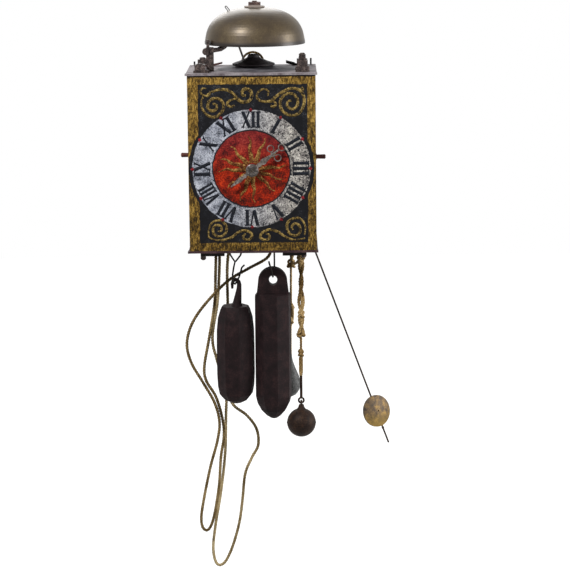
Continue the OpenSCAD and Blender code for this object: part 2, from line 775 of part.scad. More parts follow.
module going_great_wheel() {
    y0 = bar_front_y + bar_t;
    color("#6d5a3f") placed() {
        upright(0, going_great_y, great_z, wheel_t) wheel2d(great_teeth, great_m, 9, 6, 4, 90);
        click_fixings(going_great_y - 3.3, 3.3 + eps, (great_teeth / 2 - WHEEL[4]) * great_m - 2);
        rod_y(0, great_z, y0 + gap, bar_mid_y - gap, arbor_r);
        rod_y(0, great_z, bar_front_y - 8, y0 + gap + eps, 2);
        rod_y(0, great_z, bar_mid_y - gap - eps, bar_mid_y + bar_t / 2 - gap, pivot_r);
        rod_y(0, great_z, y0 + gap, going_pulley_y - 5.2 - gap, arbor_r + 1.4);
        rod_y(0, great_z, going_great_y + wheel_t - eps, going_great_y + wheel_t + 4, arbor_r + 2);
        upright(0, bar_front_y - 8, great_z, 5) rotate(90) polygon(teeth(leaves, hour_m, LEAF));
    }
}

module contrate_wheel() {
    pinion_y = going_great_y - 0.5;
    rim_y = contrate_y + WHEEL[4] * contrate_m;
    color("#7a6543") placed() translate([0, 0, second_z]) {
        rod_y(0, 0, bar_front_y + bar_t + gap, bar_mid_y - gap, arbor_r * 0.75);
        rod_y(0, 0, bar_front_y + 1, bar_mid_y + bar_t / 2 - gap, pivot_r);
        upright(0, pinion_y, 0, 4) rotate(90 + 180 / leaves) polygon(teeth(leaves, great_m, LEAF));
        rod_y(0, 0, pinion_y + 4 - eps, rim_y + 3.4, 4.4);
        upright(0, rim_y + 1.2, 0, 2) difference() {
            circle(r = contrate_r + 1.4);
            difference() {
                circle(r = contrate_r - 2.6);
                circle(r = 6);
                square([5, 2 * contrate_r], center = true);
                square([2 * contrate_r, 5], center = true);
            }
        }
        upright(0, rim_y, 0, 1.2 + eps) difference() {
            circle(r = contrate_r + 1.4);
            circle(r = contrate_r - 1.4);
        }
        for (i = [0:contrate_teeth - 1]) rotate([0, i * 360 / contrate_teeth, 0])
            translate([0, 0, contrate_r - 1.4]) linear_extrude(2.8) face_tooth();
    }
}

// Outline of one tooth of the contrate wheel, seen from the rim, with its tip to the front.
module face_tooth() {
    pitch = PI * contrate_m;
    half = [for (k = [0:2]) [pitch * WHEEL[k], contrate_y + [WHEEL[4], 0, -WHEEL[3]][k] * contrate_m]];
    polygon(concat(
        [half[0] + [0, eps], half[1], half[2]],
        [for (k = [2, 1, 0]) [-half[k][0], half[k][1] + (k == 0 ? eps : 0)]]
    ));
}

module crown_wheel() {
    rim_t = 1.6;
    saw_h = 5;
    pitch = 2 * PI * crown_r / crown_teeth;
    color("#8a744c") placed() translate([0, crown_y, 0]) {
        translate([0, 0, potence_low_z - arm_t + gap]) cylinder(h = arm_t, r = 0.9);
        translate([0, 0, potence_low_z + gap]) cylinder(h = 1, r = 1.5);
        translate([0, 0, potence_low_z + 1]) linear_extrude(6)
            rotate(90 + 180 / leaves) polygon(teeth(leaves, contrate_m, LEAF));
        translate([0, 0, potence_low_z + 7 - eps]) cylinder(h = crown_disc_z + 7 - potence_low_z - 7, r = 1.5);
        translate([0, 0, crown_disc_z]) {
            cylinder(h = 5, r = 3.4);
            difference() {
                cylinder(h = 2, r = crown_r);
                for (a = [0:90:270]) rotate([0, 0, a]) translate([4.6, 1.6, -1]) linear_extrude(4)
                    polygon([[0, 0], [crown_r - 7.2, 0], [crown_r - 8.4, 4], [0, 6]]);
            }
            difference() {
                cylinder(h = crown_tip_z - crown_disc_z - saw_h, r = crown_r + rim_t / 2);
                translate([0, 0, -1]) cylinder(h = 30, r = crown_r - rim_t / 2);
            }
        }
        for (i = [0:crown_teeth - 1]) rotate([0, 0, i * 360 / crown_teeth])
            translate([crown_r - rim_t / 2 + 0.1, 0, crown_tip_z - saw_h]) rotate([90, 0, 90])
                linear_extrude(rim_t - 0.2) polygon([
                    [-pitch * 0.4, -0.5], [pitch * 0.4, -0.5], [pitch * 0.36, 0.1],
                    [-pitch * 0.28, saw_h], [-pitch * 0.4, saw_h]
                ]);
    }
}

// Verge arbor with its two flags over the crown wheel, turned with the leaning pendulum.
module verge() {
    flag_l = 5.2;
    color("#4c4644") placed() {
        rod_y(0, verge_z, bar_front_y + bar_t + gap, case_d + 4 - gap, 1.5);
        rod_y(0, verge_z, bar_front_y + 1, bar_front_y + bar_t + gap + eps, pivot_r);
        rod_y(0, verge_z, case_d + 4 - gap - eps, pend_y + 3.4, 1.5);
        for (s = [-1, 1]) upright(0, crown_y + s * crown_r - 2.5, verge_z, 5)
            rotate(lean + s * 47) translate([-0.6, -flag_l]) square([1.2, flag_l]);
    }
}

// Turns its children with the pendulum about the verge, from hanging straight down.
module on_pendulum() {
    translate([0, pend_y, verge_z]) rotate([0, -lean, 0]) children();
}

module pendulum_rod() {
    color("#2b2624") placed() on_pendulum() {
        difference() {
            translate([-4, -2, -6]) cube([8, 4, 11]);
            rotate([90, 0, 0]) cylinder(h = 20, r = 1.5 + fit, center = true);
        }
        translate([0, 0, -pend_len - rod_tail]) cylinder(h = pend_len + rod_tail - 6 + eps, r = rod_d / 2);
        translate([0, 0, -pend_len - bob_d / 2 - 4.4]) cylinder(h = 2, r = rod_d / 2 + 0.5);
    }
}

module pendulum_bob() {
    rim = 3;
    color("#8a6f45") placed() on_pendulum() translate([0, 0, -pend_len]) rotate([0, 0, bob_turn]) difference() {
        rotate([90, 0, 0]) rotate_extrude($fn = 96) polygon(concat(
            [for (i = [0:8]) let (r = bob_d / 2 * i / 8) [r, -rim / 2 - (bob_t - rim) / 2 * (1 - pow(i / 8, 2))]],
            [for (i = [8:-1:0]) let (r = bob_d / 2 * i / 8) [r, rim / 2 + (bob_t - rim) / 2 * (1 - pow(i / 8, 2))]]
        ));
        translate([0, 0, -50]) cylinder(h = 100, r = rod_d / 2 + fit);
        rotate([90, 0, 0]) translate([0, 0, 2]) cylinder(h = 10, r = 0.9);
    }
}

lift_pins = 12;
lift_pin_r = 30;
hour_y = bar_front_y - 7.5;

module hour_wheel() {
    color("#75603f") placed() {
        upright(0, hour_y, dial_z, wheel_t) wheel2d(hour_teeth, hour_m, 8, 6, 5, -90 + 180 / hour_teeth);
        for (i = [0:lift_pins - 1]) let (a = (i + 0.5) * 360 / lift_pins)
            rod_y(lift_pin_r * cos(a), dial_z + lift_pin_r * sin(a), hour_y + wheel_t - eps, hour_y + wheel_t + 2.4, 0.9);
        upright(0, hour_y, dial_z, wheel_t) for (i = [0:lift_pins - 1])
            rotate((i + 0.5) * 360 / lift_pins) translate([lift_pin_r, 0]) circle(r = 1.8);
        upright(0, hour_y, dial_z, wheel_t) difference() {
            circle(r = lift_pin_r + 1.2);
            circle(r = lift_pin_r - 1.2);
        }
        rod_y(0, dial_z, -hand_gap - 3.4, bar_front_y - gap, arbor_r);
        rod_y(0, dial_z, bar_front_y - gap - eps, bar_front_y + bar_t / 2, 1.5);
    }
}

// The steel hand: a leaf with three open rings, a centre and a shorter leaf for its tail.
module hand2d() {
    ring_r = hand_len * 0.1;
    ring_hole = ring_r - 1.1;
    ring_at = hand_len * 0.745;
    difference() {
        union() {
            circle(r = 6.4);
            link2d([0, 0], [0, hand_len * 0.24], 8, 3.2);
            translate([0, hand_len * 0.24]) circle(r = 2.6);
            link2d([0, hand_len * 0.24], [0, hand_len * 0.38], 2.4, 7.4);
            link2d([0, hand_len * 0.38], [0, hand_len * 0.66], 7.4, 2.6);
            link2d([0, hand_len * 0.6], [0, hand_len - 3], 2.6, 2.2);
            for (s = [-1, 1]) translate([s * hand_len * 0.155, ring_at]) circle(r = ring_r);
            for (s = [-1, 1]) link2d([0, hand_len * 0.66], [s * hand_len * 0.08, ring_at - 1.4], 2.4, 2.2);
            translate([0, hand_len]) circle(r = ring_r);
            translate([0, -tail_len * 0.35]) circle(r = 2.4);
            link2d([0, 0], [0, -tail_len * 0.35], 7, 2.6);
            link2d([0, -tail_len * 0.35], [0, -tail_len * 0.6], 2.4, 6);
            link2d([0, -tail_len * 0.6], [0, -tail_len], 6, 1.4);
        }
        for (s = [-1, 1]) translate([s * hand_len * 0.155, ring_at]) circle(r = ring_hole);
        translate([0, hand_len]) circle(r = ring_hole);
        circle(r = arbor_r + fit);
    }
}

module hour_hand() {
    color("#8f8a80") placed() upright(0, -hand_gap - 1.4, dial_z, 1.4) rotate(-hand_angle) hand2d();
}

// The domed boss with a cross pin that keeps the hand on its arbor.
module hand_boss() {
    color("#9a948a") placed() translate([0, -hand_gap - 1.4, dial_z]) rotate([90, 0, 0]) difference() {
        union() {
            rotate_extrude() polygon([[0, 0], [7.8, 0], [7.8, 0.6], [6.6, 1.4], [4.6, 1.8], [0, 1.8]]);
            rotate([0, 0, -hand_angle]) translate([-5, -0.9, 0]) cube([10, 1.8, 3]);
        }
        translate([0, 0, -1]) cylinder(h = 3.1, r = arbor_r + fit);
    }
}

module strike_great_wheel() {
    y0 = bar_mid_y + bar_t;
    pin_ring = strike_m * strike_teeth / 2 - 7;
    color("#6d5a3f") placed() {
        upright(0, strike_great_y, great_z, wheel_t) {
            wheel2d(strike_teeth, strike_m, 9, 6, 3.4, 90);
            difference() {
                circle(r = pin_ring + 2);
                circle(r = pin_ring - 2);
            }
        }
        for (i = [0:hammer_pins - 1]) let (a = (i + 0.5) * 360 / hammer_pins)
            rod_y(pin_ring * cos(a), great_z + pin_ring * sin(a), strike_great_y - 5.5, strike_great_y + eps, 1.5);
        click_fixings(strike_great_y + wheel_t - eps, 3.3, (strike_teeth / 2 - WHEEL[4]) * strike_m - 1.8);
        rod_y(0, great_z, y0 + gap, bar_rear_y - gap, arbor_r);
        rod_y(0, great_z, bar_mid_y + bar_t / 2 + gap, y0 + gap + eps, pivot_r);
        rod_y(0, great_z, bar_rear_y - gap - eps, case_d + 3.8, 2);
        rod_y(0, great_z, strike_great_y - 4, strike_great_y + eps, arbor_r + 2);
        rod_y(0, great_z, strike_pulley_y + 5.2 + gap, strike_pulley_y + 7.5, arbor_r + 1.4);
        upright(0, case_d + 1, great_z, 2.8) rotate(180 + 180 / 8) polygon(teeth(8, count_m, LEAF));
    }
}

hoop_y = bar_rear_y - 11;

module hoop_wheel() {
    color("#7a6543") placed() translate([0, 0, second_z]) {
        rod_y(0, 0, bar_mid_y + bar_t + gap, bar_rear_y - gap, arbor_r * 0.75);
        rod_y(0, 0, bar_mid_y + bar_t / 2 + gap, bar_rear_y + bar_t - 0.4, pivot_r);
        upright(0, strike_great_y - 0.5, 0, 4) rotate(-90 + 180 / hoop_leaves)
            polygon(teeth(hoop_leaves, strike_m, LEAF));
        upright(0, hoop_y, 0, wheel_t) wheel2d(hoop_teeth, hoop_m, 6, 5, 3.4, 90);
        rod_y(0, 0, hoop_y - 3, hoop_y + eps, 4.6);
        upright(0, hoop_y - 3, 0, 3 + eps) difference() {
            circle(r = hoop_ring_r);
            circle(r = hoop_ring_r - 2);
            translate([-hoop_ring_r - 1, -2.2]) square([6, 4.4]);
        }
    }
}

hoop_ring_r = (hoop_teeth / 2 - WHEEL[4]) * hoop_m - 2;

module fly_pinion() {
    color("#5c5450") placed() translate([0, 0, fly_z]) {
        rod_y(0, 0, bar_mid_y + bar_t + gap, bar_rear_y - gap, 1.6);
        rod_y(0, 0, bar_mid_y + 1, bar_rear_y + bar_t - 1, 0.9);
        upright(0, hoop_y - 0.5, 0, 4) rotate(90 + 180 / leaves) polygon(teeth(leaves, hoop_m, LEAF));
    }
}

// The air brake of the striking train, a light vane on a sleeve that grips its arbor.
module fly() {
    color("#8d7a54") placed() translate([0, 0, fly_z]) difference() {
        union() {
            rod_y(0, 0, bar_mid_y + bar_t + 3, bar_mid_y + bar_t + 21, 2.6);
            translate([-12, bar_mid_y + bar_t + 3, -0.4]) cube([24, 18, 0.8]);
        }
        rod_y(0, 0, bar_mid_y, bar_rear_y, 1.6 + fit);
    }
}

// Total blows struck up to the end of each hour.
function blows(h) = h * (h + 1) / 2;

// The count wheel behind the case: toothed disc with a raised ring notched after each hour's blows.
module count_wheel() {
    ring_out = (count_teeth / 2 - WHEEL[4]) * count_m - 2.6;
    color("#6d5a3f") placed() difference() {
        union() {
            upright(count_x, case_d + 1, great_z, 2.4) wheel2d(count_teeth, count_m, 7, 6, 6, 0);
            upright(count_x, case_d + 3.4 - eps, great_z, 2.4) difference() {
                circle(r = ring_out);
                circle(r = ring_out - 2.6);
                for (h = [1:12]) rotate(-blows(h) * 360 / count_teeth)
                    translate([ring_out - 4, -0.9]) square([6, 1.8]);
            }
            rod_y(count_x, great_z, case_d + 1, case_d + 5.4, 4);
        }
        rod_y(count_x, great_z, case_d, case_d + 10, 2 + fit);
    }
}

hammer_pin_r = strike_m * strike_teeth / 2 - 7;

// Arbor of the hammer with its tail by the lifting pins, its spring tail and its long shank.
module hammer() {
    tail = [hammer_x + 1 - hammer_x, great_z + 23 - hammer_z];
    color("#3a3432") placed() translate([hammer_x, 0, hammer_z]) {
        rod_y(0, 0, bar_mid_y + bar_t + gap, bar_rear_y - gap, 2.4);
        rod_y(0, 0, bar_mid_y + 1, bar_rear_y + bar_t - 1, pivot_r);
        upright(0, strike_great_y - 5, 0, 3.6) link2d([0, 0], tail, 7, 4);
        upright(0, shank_y - 3, 0, 6) link2d([0, 0], [12.5, -7], 7, 3.4);
        tube(shank_points, [2, 1.8, 1.6, 1.3, 1.2, 1.2], sides = 12);
    }
}

shank_lean = 19.5;
head_z = bell_lift + 13.5;
shank_top = head_z - hammer_z;
shank_points = [for (u = [0, 0.25, 0.5, 0.75, 0.9, 1]) [-tan(shank_lean) * shank_top * u, shank_y, shank_top * u]];

// Inside radius of the bell at a height over its mouth.
function bell_hollow(h) = (bell_d / 2 - bell_wall) * pow(1 - pow(h / (bell_h - bell_wall), 2.4), 1 / 2.4);

// The head rests 1.6 mm off the wall of the bell.
module hammer_head() {
    top_x = hammer_x + shank_points[5][0];
    wall_r = bell_hollow(head_z - bell_lift + 4);
    wall_x = bell_x - sqrt(wall_r * wall_r - pow(shank_y - bell_y + 4, 2));
    len = top_x - wall_x - 1.6;
    color("#453c38") placed() translate([top_x, shank_y, head_z]) difference() {
        rotate([0, -90, 0]) {
            translate([0, 0, -5]) cylinder(h = 5 + eps, r1 = 4, r2 = 5);
            cylinder(h = len - 3, r = 5);
            translate([0, 0, len - 3 - eps]) cylinder(h = 3, r1 = 5, r2 = 3.4);
        }
        rotate([0, -shank_lean, 0]) cylinder(h = 20, r = 1.2 + fit, center = true);
    }
}

// An upright leaf spring riveted to the bottom plate, which brings the hammer back.
module hammer_spring() {
    n = 8;
    top_z = hammer_z - 4;
    lean_in = 5.2;
    x0 = hammer_x + 20;
    edge = [for (i = [0:n]) let (u = i / n) [x0 - lean_in * u * u, floor_z + (top_z - floor_z) * u]];
    color("#55504c") placed() {
        upright(0, shank_y - 4, 0, 8) polygon(concat(edge, [for (i = [n:-1:0]) edge[i] + [1.2, 0]]));
        translate([x0, shank_y - 4, floor_z]) cube([10, 8, 1.6]);
    }
}

// Lifting lever: its front arm lies by the pins of the hour wheel, its rear arm by the locking lever.
module lifting_lever() {
    color("#44403e") placed() translate([lever_x, 0, lift_z]) {
        rod_y(0, 0, bar_front_y + bar_t + gap, bar_mid_y - gap, 2.2);
        rod_y(0, 0, hour_y + wheel_t + 1.4, bar_mid_y + bar_t + 8, 1.5);
        upright(0, hour_y + wheel_t + 0.4, 0, 2.4) link2d([0, 0], [7.6, -3.2], 6, 2.6);
        upright(0, bar_mid_y + bar_t + 4, 0, 3) link2d([0, 0], [1.4, 12], 6, 3);
    }
}

// Locking lever: short tail by the lifting lever, an arm to the hoop and a long arm to the count wheel.
module locking_lever() {
    hoop_tip = [-hoop_ring_r - 2.2 - lever_x, second_z - lock_z];
    ring_tip = [count_x - (count_teeth / 2 - WHEEL[4]) * count_m - lever_x - 0.9, great_z - lock_z];
    color("#44403e") placed() translate([lever_x, 0, lock_z]) {
        rod_y(0, 0, bar_mid_y + bar_t + gap, bar_rear_y - gap, 2.4);
        rod_y(0, 0, bar_mid_y + 1, bar_mid_y + bar_t + gap + eps, pivot_r);
        rod_y(0, 0, bar_rear_y - gap - eps, case_d + 6.4, 2);
        upright(0, bar_mid_y + bar_t + 4, 0, 3) link2d([0, 0], [-2.6, -13], 6, 3);
        upright(0, hoop_y - 2.8, 0, 2.4) link2d([0, 0], hoop_tip, 6, 2.4);
        upright(0, case_d + 3.9, 0, 2.2) link2d([0, 0], ring_tip, 6, 2.2);
    }
}

// A side door in its shut place on the left; its knob, hinge knuckles and leaves are riveted on.
module door(knob_z, knob_l) {
    x = -case_w / 2;
    difference() {
        union() {
            translate([x, sheet_t + 1, floor_z + 0.6]) cube([sheet_t, case_d - 5 - sheet_t - 1, inner_h - 1.2]);
            for (z = [roof_z - 42, floor_z + 26]) {
                translate([-hinge_x, hinge_y, z]) cylinder(h = 16, r = pin_r + 1.3);
                translate([x + sheet_t - eps, hinge_y - 14, z]) cube([1.2, 14, 16]);
            }
            translate([x, 20, knob_z]) rotate([0, -90, 0]) {
                cylinder(h = 1, r = 3.6);
                cylinder(h = knob_l - 1, r1 = 2.5, r2 = 2.8);
                translate([0, 0, knob_l - 1 - eps]) cylinder(h = 1, r1 = 2.8, r2 = 1.8);
            }
        }
        translate([-hinge_x, hinge_y, bottom_z]) cylinder(h = case_h, r = pin_r + 0.08);
    }
}

module left_door() {
    color("#54302c") placed() door(dial_z + 15.8, 9.6);
}

module right_door() {
    color("#54302c") placed() mirror([1, 0, 0]) door(dial_z + 12.4, 11.8);
}

fold_z = floor_z + 0.6 + wire_r;

// The forked wire hook of the left weight: two arms folded over above the bottom plate, twisted into
// one stem, which turns under the crook of the weight and ends in a free tip.
module left_hook() {
    y = weight_y;
    stem = concat([
        [left_x - 16, y, fold_z], [left_x - 9, y, fold_z], [left_x - 8, y, fold_z - 1.4], [left_x - 8, y, bottom_z - 1]
    ], lowered([
        [-28, y, -228], [-23.4, y, -235], [-24.9, 33, -241], [-26.4, 29.6, -250], [-26.4, 28, -257], [-25, 28.8, -261],
        [-23.5, 31.4, -262.3], [-23.2, 34, -262.5], [-22.8, 37, -262], [-21.2, 39.8, -259.6], [-18.8, 40.2, -255.4],
        [-17, 39.2, -249.6], [-15.3, 37.6, -243], [-11.9, 36.6, -239.5]
    ]));
    arm = concat([
        [left_x + 18, y, fold_z], [left_x + 11, y, fold_z], [left_x + 10, y, fold_z - 1.4], [left_x + 10, y, bottom_z - 1]
    ], lowered([[-16.6, y, -227], [-22.6, y, -234.6]]));
    color("#2a2624") placed() {
        tube(stem, steady(stem, wire_r), ref = [0.2, 0.98, 0.12]);
        tube(arm, steady(arm, wire_r));
    }
}

module octagon(w) {
    circle(d = w / cos(22.5), $fn = 8);
}

weight_turn = 13.5;

// A forged octagonal body through stages of depth below its top and width across the flats.
module weight_body(stages) {
    rotate([0, 0, weight_turn]) for (i = [0:len(stages) - 2])
        translate([0, 0, -stages[i + 1][0]])
            cylinder(h = stages[i + 1][0] - stages[i][0] + (i == 0 ? 0 : eps),
                     d1 = stages[i + 1][1] / cos(22.5), d2 = stages[i][1] / cos(22.5), $fn = 8);
}

left_w = weight_w * 1.055;
// Stages of the left weight as shares of its width and depths as shares of its length.
LEFT_STAGES = [
    [0, 0.7], [0.035, 0.79], [0.115, 0.915], [0.24, 0.985], [0.4, 1], [0.7, 1], [0.82, 0.965],
    [0.905, 0.88], [0.965, 0.62], [1, 0.26]
];
// The pointed end of the right weight: height over its tip and share of the width.
RIGHT_END = [[29, 1], [20, 0.91], [10.5, 0.69], [3.5, 0.4], [0, 0.17]];

module left_weight() {
    neck = lowered([
        [-21.8, 34, -292], [-21.4, 34, -286], [-20, 34, -277], [-18.9, 34, -268.6], [-18.6, 34, -263.6],
        [-19.4, 34, -260], [-21.2, 34, -257.6], [-23.7, 34, -257.2], [-26, 34, -259], [-27.2, 34, -262.4], [-27.2, 34, -268.4]
    ]);
    girth = [7.6, 5.4, 4.2, 3.1, 2.8, 2.7, 2.6, 2.5, 2.3, 2, 1.4];
    color("#2e2524") placed() {
        translate([left_x, weight_y, left_top]) weight_body([for (s = LEFT_STAGES) [s[0] * left_len, s[1] * left_w]]);
        tube(neck, girth, sides = 12);
    }
}

module right_hook() {
    y = weight_y;
    x = right_x + 2.4;
    wire = concat([
        [x + 9, y, fold_z], [x + 1.4, y, fold_z], [x, y, fold_z - 1.4], [x, y, bottom_z - 1]
    ], lowered([
        [x, y, -222], [x, 37, -230], [x, 42.4, -238],
        [x - 0.2, 44.6, -244], [x - 0.8, 44.2, -250], [23.6, 42.4, -252.6], [23.3, 34, -252.8], [23.2, 25.6, -252.6],
        [22.6, 23.8, -250], [21.4, 23.6, -244], [20.2, 24.4, -240], [18.2, 25.4, -233]
    ]));
    color("#2a2624") placed() tube(wire, steady(wire, wire_r), ref = [0.98, 0.2, 0.1]);
}

// The right weight: its upper end is flattened to a rounded eye with a slightly tall hole.
module right_weight() {
    eye_half = 7;
    eye_step = 35;
    hole_z = right_top - 15.6;
    hole_x = right_x + 0.6;
    color("#2e2524") placed() difference() {
        translate([right_x, weight_y, right_top]) {
            difference() {
                weight_body(concat(
                    [[eye_step - 1, weight_w], [right_len * 0.6, weight_w + 0.5]],
                    [for (s = RIGHT_END) [right_len - s[0], s[1] * (weight_w + 0.3)]]
                ));
                translate([-50, -50, -eye_step]) cube([100, 100, 60]);
            }
            translate([0, 0, -eye_step - eps]) linear_extrude(2) rotate(weight_turn) octagon(weight_w - 0.6);
            intersection() {
                translate([0, 0, -eye_step - 1]) rotate([0, 0, weight_turn]) cylinder(h = eye_step + 1, d = weight_w / cos(22.5), $fn = 8);
                upright(0, -eye_half, -18, 2 * eye_half) {
                    circle(r = 18);
                    polygon([[-18, 0], [18, 0], [weight_w / 2, -eye_step + 10], [weight_w / 2, -eye_step - 4],
                             [-weight_w / 2, -eye_step - 4], [-weight_w / 2, -eye_step + 10]]);
                }
            }
        }
        rod_y(hole_x, hole_z + 1.1, 0, 80, 5.1);
        rod_y(hole_x, hole_z - 1.1, 0, 80, 5.1);
        translate([hole_x - 5.1, 0, hole_z - 1.1]) cube([10.2, 80, 2.2]);
    }
}

// The rest of a rope inside the case: up from the left hole, over its pulley, down to the right hole.
function over_pulley(from, to, y) =
    let (c = [0, great_z], a = [from[0], from[2]] - c, b = [to[0], to[2]] - c,
         ta = atan2(a[1], a[0]) + 360 - acos(rope_run_r / norm(a)),
         tb = atan2(b[1], b[0]) + acos(rope_run_r / norm(b)))
    let (n = 8, half = (tb - ta) / n / 2, r = rope_run_r / cos(half))
    [for (i = [0:n]) let (t = ta + (tb - ta) * i / n) [r * cos(t), y, great_z + r * sin(t)]];

// A rope's parked end: a knot that sits on the bottom plate over its hole.
function parked(p) = [
    [p[0], p[1], floor_z + 9], [p[0], p[1], floor_z + 1.2], [p[0], p[1], floor_z + 0.3], [p[0], p[1], bottom_z]
];

module rope(route, to, y, tint) {
    from = route[len(route) - 1];
    inside = [0, 0, plate_t + 1];
    path = concat(parked(route[0]), [for (i = [1:len(route) - 1]) route[i]],
                  [from + inside], over_pulley(from, to, y), [to + inside, to]);
    swell = concat([2, 2.2, 1, 1], [for (i = [4:len(path) - 1]) 1]);
    color(tint) placed() tube(path, rope_r * swell);
}

module going_rope() {
    rope(lowered(GOING_ROUTE), going_out_r, going_pulley_y, "#a3916f");
}

module strike_rope() {
    rope(lowered(STRIKE_ROUTE), strike_out_r, strike_pulley_y, "#b8a483");
}

module ball_rope() {
    color("#a4844f") placed() tube(lowered(BALL_ROUTE), rope_r * BALL_SWELL);
}

module ball_link() {
    color("#4a3c34") placed() translate([56.8, 34, hang]) {
        translate([0, 0, -408]) cylinder(h = 31, r = 1.7);
        translate([0, 0, -411]) rotate([90, 0, 0]) rotate_extrude() translate([3.2, 0]) circle(r = 1.2, $fn = 24);
    }
}

ball_z = -439.4;

module lead_rope() {
    color("#a4844f") placed() tube(lowered(LEAD_ROUTE), rope_r * LEAD_SWELL);
}

module iron_ball() {
    color("#3a2a24") placed() translate([56.8, 34, hang]) {
        translate([0, 0, -414.5]) rotate([0, 90, 0]) rotate_extrude() translate([3, 0]) circle(r = 1.2, $fn = 24);
        translate([0, 0, ball_z]) rotate_extrude($fn = 72) union() {
            intersection() {
                circle(r = ball_r, $fn = 72);
                translate([0, -ball_r]) square([ball_r, 2 * ball_r]);
            }
            polygon([[0, ball_r - 4], [6.5, ball_r - 2.2], [4, ball_r + 1.6], [3, ball_r + 5], [0, ball_r + 5]]);
            translate([0, -0.5]) square([ball_r + 0.35, 1]);
        }
    }
}

module lead_drop() {
    n = 18;
    top = -363 + hang;
    len = 56;
    pear = [for (i = [0:n]) let (u = i / n)
            [drop_r * pow(max(0, sin(180 * pow(u, 1.75))), 1 - 0.4 * u) * (0.72 + 0.26 * u) + 1.6 * (1 - u), -len * u]];
    color("#4b5254") placed() translate([44, strike_pulley_y, top]) rotate_extrude($fn = 64)
        polygon(concat([[0, -len], [0, 0]], [for (i = [0:n - 1]) pear[i]]));
}

top_plate();
bottom_plate();
corner_posts();
post_nuts();
dial_plate();
dial_pins();
back_plate();
front_bar();
middle_bar();
rear_bar();
potence();
verge_cock();
hanging_eye();
wall_spurs();
under_straps();
rear_straps();
hinge_pins();
bell_stand();
bell();
bell_nut();
bell_staple();
dust_plate();
cap();
hammer_spring();
left_door();
right_door();
going_great_wheel();
going_pulley();
going_click();
contrate_wheel();
crown_wheel();
verge();
pendulum_rod();
pendulum_bob();
hour_wheel();
hour_hand();
hand_boss();
strike_great_wheel();
strike_pulley();
strike_click();
hoop_wheel();
fly_pinion();
fly();
count_wheel();
hammer();
hammer_head();
lifting_lever();
locking_lever();
left_hook();
left_weight();
right_hook();
right_weight();
ball_rope();
ball_link();
iron_ball();
lead_rope();
lead_drop();
going_rope();
strike_rope();
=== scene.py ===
# %% [markdown]
# # An old iron wall clock with a bell
# The clock is an iron box with a painted dial, a bell on top, and ropes, weights and a pendulum below.
# Its hard pieces come from the CAD model, as a fixed frame that nothing here moves or reshapes.
# Blender adds what a CAD model leaves out: twisted hemp, brush strokes, threads, rust, patina and worn paint.
# %% Load the frame
import math

import bpy
from mathutils import Matrix, Vector


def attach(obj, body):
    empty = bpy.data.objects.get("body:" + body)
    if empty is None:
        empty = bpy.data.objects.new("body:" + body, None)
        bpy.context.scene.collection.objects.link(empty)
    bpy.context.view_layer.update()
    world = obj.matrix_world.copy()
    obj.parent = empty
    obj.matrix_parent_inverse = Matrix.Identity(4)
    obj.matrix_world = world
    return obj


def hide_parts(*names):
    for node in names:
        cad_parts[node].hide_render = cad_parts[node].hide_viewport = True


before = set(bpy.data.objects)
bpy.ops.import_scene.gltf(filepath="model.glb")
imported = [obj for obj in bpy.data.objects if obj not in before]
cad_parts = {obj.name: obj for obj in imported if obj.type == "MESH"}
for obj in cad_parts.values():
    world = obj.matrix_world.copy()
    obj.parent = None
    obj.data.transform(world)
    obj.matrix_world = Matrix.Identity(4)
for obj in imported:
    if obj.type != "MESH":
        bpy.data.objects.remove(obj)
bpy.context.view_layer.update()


# %% [markdown]
# ## Places
# The clock was measured in millimetres from the middle of its top plate: x to the right, y to the back from
# the face of the dial, z up. The frame is in metres from the middle of the ring that the clock hangs by.
# One small function turns the first into the second, so the measured numbers can be written as they are.
# %% From the maker's millimetres to the frame
ring_depth, ring_height = 122.5, 2  # where the middle of the ring is, in the case's millimetres


def place(x, y, z):
    """A point in the case's millimetres, as a point of the frame in metres."""
    return Vector((x / 1000, (y - ring_depth) / 1000, (z - ring_height) / 1000))


print("middle of the dial:", [round(v, 4) for v in place(0, 0, -116)])

# %% [markdown]
# ## The camera
# The photograph was taken from a little above the bell with a long lens, so upright lines stay nearly
# parallel. The camera could be aimed with a constraint, but a matrix made from its three directions says
# exactly how it is turned, with the small roll of a camera held by hand.
# %% Camera
pitch, yaw, roll = 0.1894, -0.0039, -0.0098
camera_place = (0.0480, -2.6750, 0.2292)
forward = Vector((math.sin(yaw) * math.cos(pitch), math.cos(yaw) * math.cos(pitch), -math.sin(pitch)))
level = Vector((math.cos(yaw), -math.sin(yaw), 0))
lift = level.cross(forward)
right = math.cos(roll) * level + math.sin(roll) * lift
above = math.cos(roll) * lift - math.sin(roll) * level
camera = bpy.data.objects.new("camera", bpy.data.cameras.new("camera"))
bpy.context.scene.collection.objects.link(camera)
turned = Matrix((right, above, -forward)).transposed().to_4x4()
camera.matrix_world = Matrix.Translation(camera_place) @ turned
camera.data.sensor_width, camera.data.lens = 36, 134.79
bpy.context.scene.camera = camera
print("lens:", camera.data.lens, "mm")


# %% [markdown]
# ## Colours and nodes
# Colours are picked from a picture as sRGB hex values, while shaders count in linear light, so one function
# turns the first into the second. A second small function adds one node with its settings and links, for
# materials and Geometry Nodes alike. Every finish below is made with these two.
# %% Helpers for nodes
def tint(hex_colour):
    """An sRGB hex colour such as "a5822f" as linear red, green, blue, alpha."""
    parts = [int(hex_colour[i:i + 2], 16) / 255 for i in (0, 2, 4)]
    return (*[c / 12.92 if c <= 0.04045 else ((c + 0.055) / 1.055) ** 2.4 for c in parts], 1)


def plug(tree, node, sockets):
    """Gives sockets, by name or number, a value, an output, or a node for its first output."""
    for socket, value in sockets.items():
        if isinstance(value, bpy.types.Node):
            value = value.outputs[0]
        if isinstance(value, bpy.types.NodeSocket):
            tree.links.new(value, node.inputs[socket])
        else:
            node.inputs[socket].default_value = value


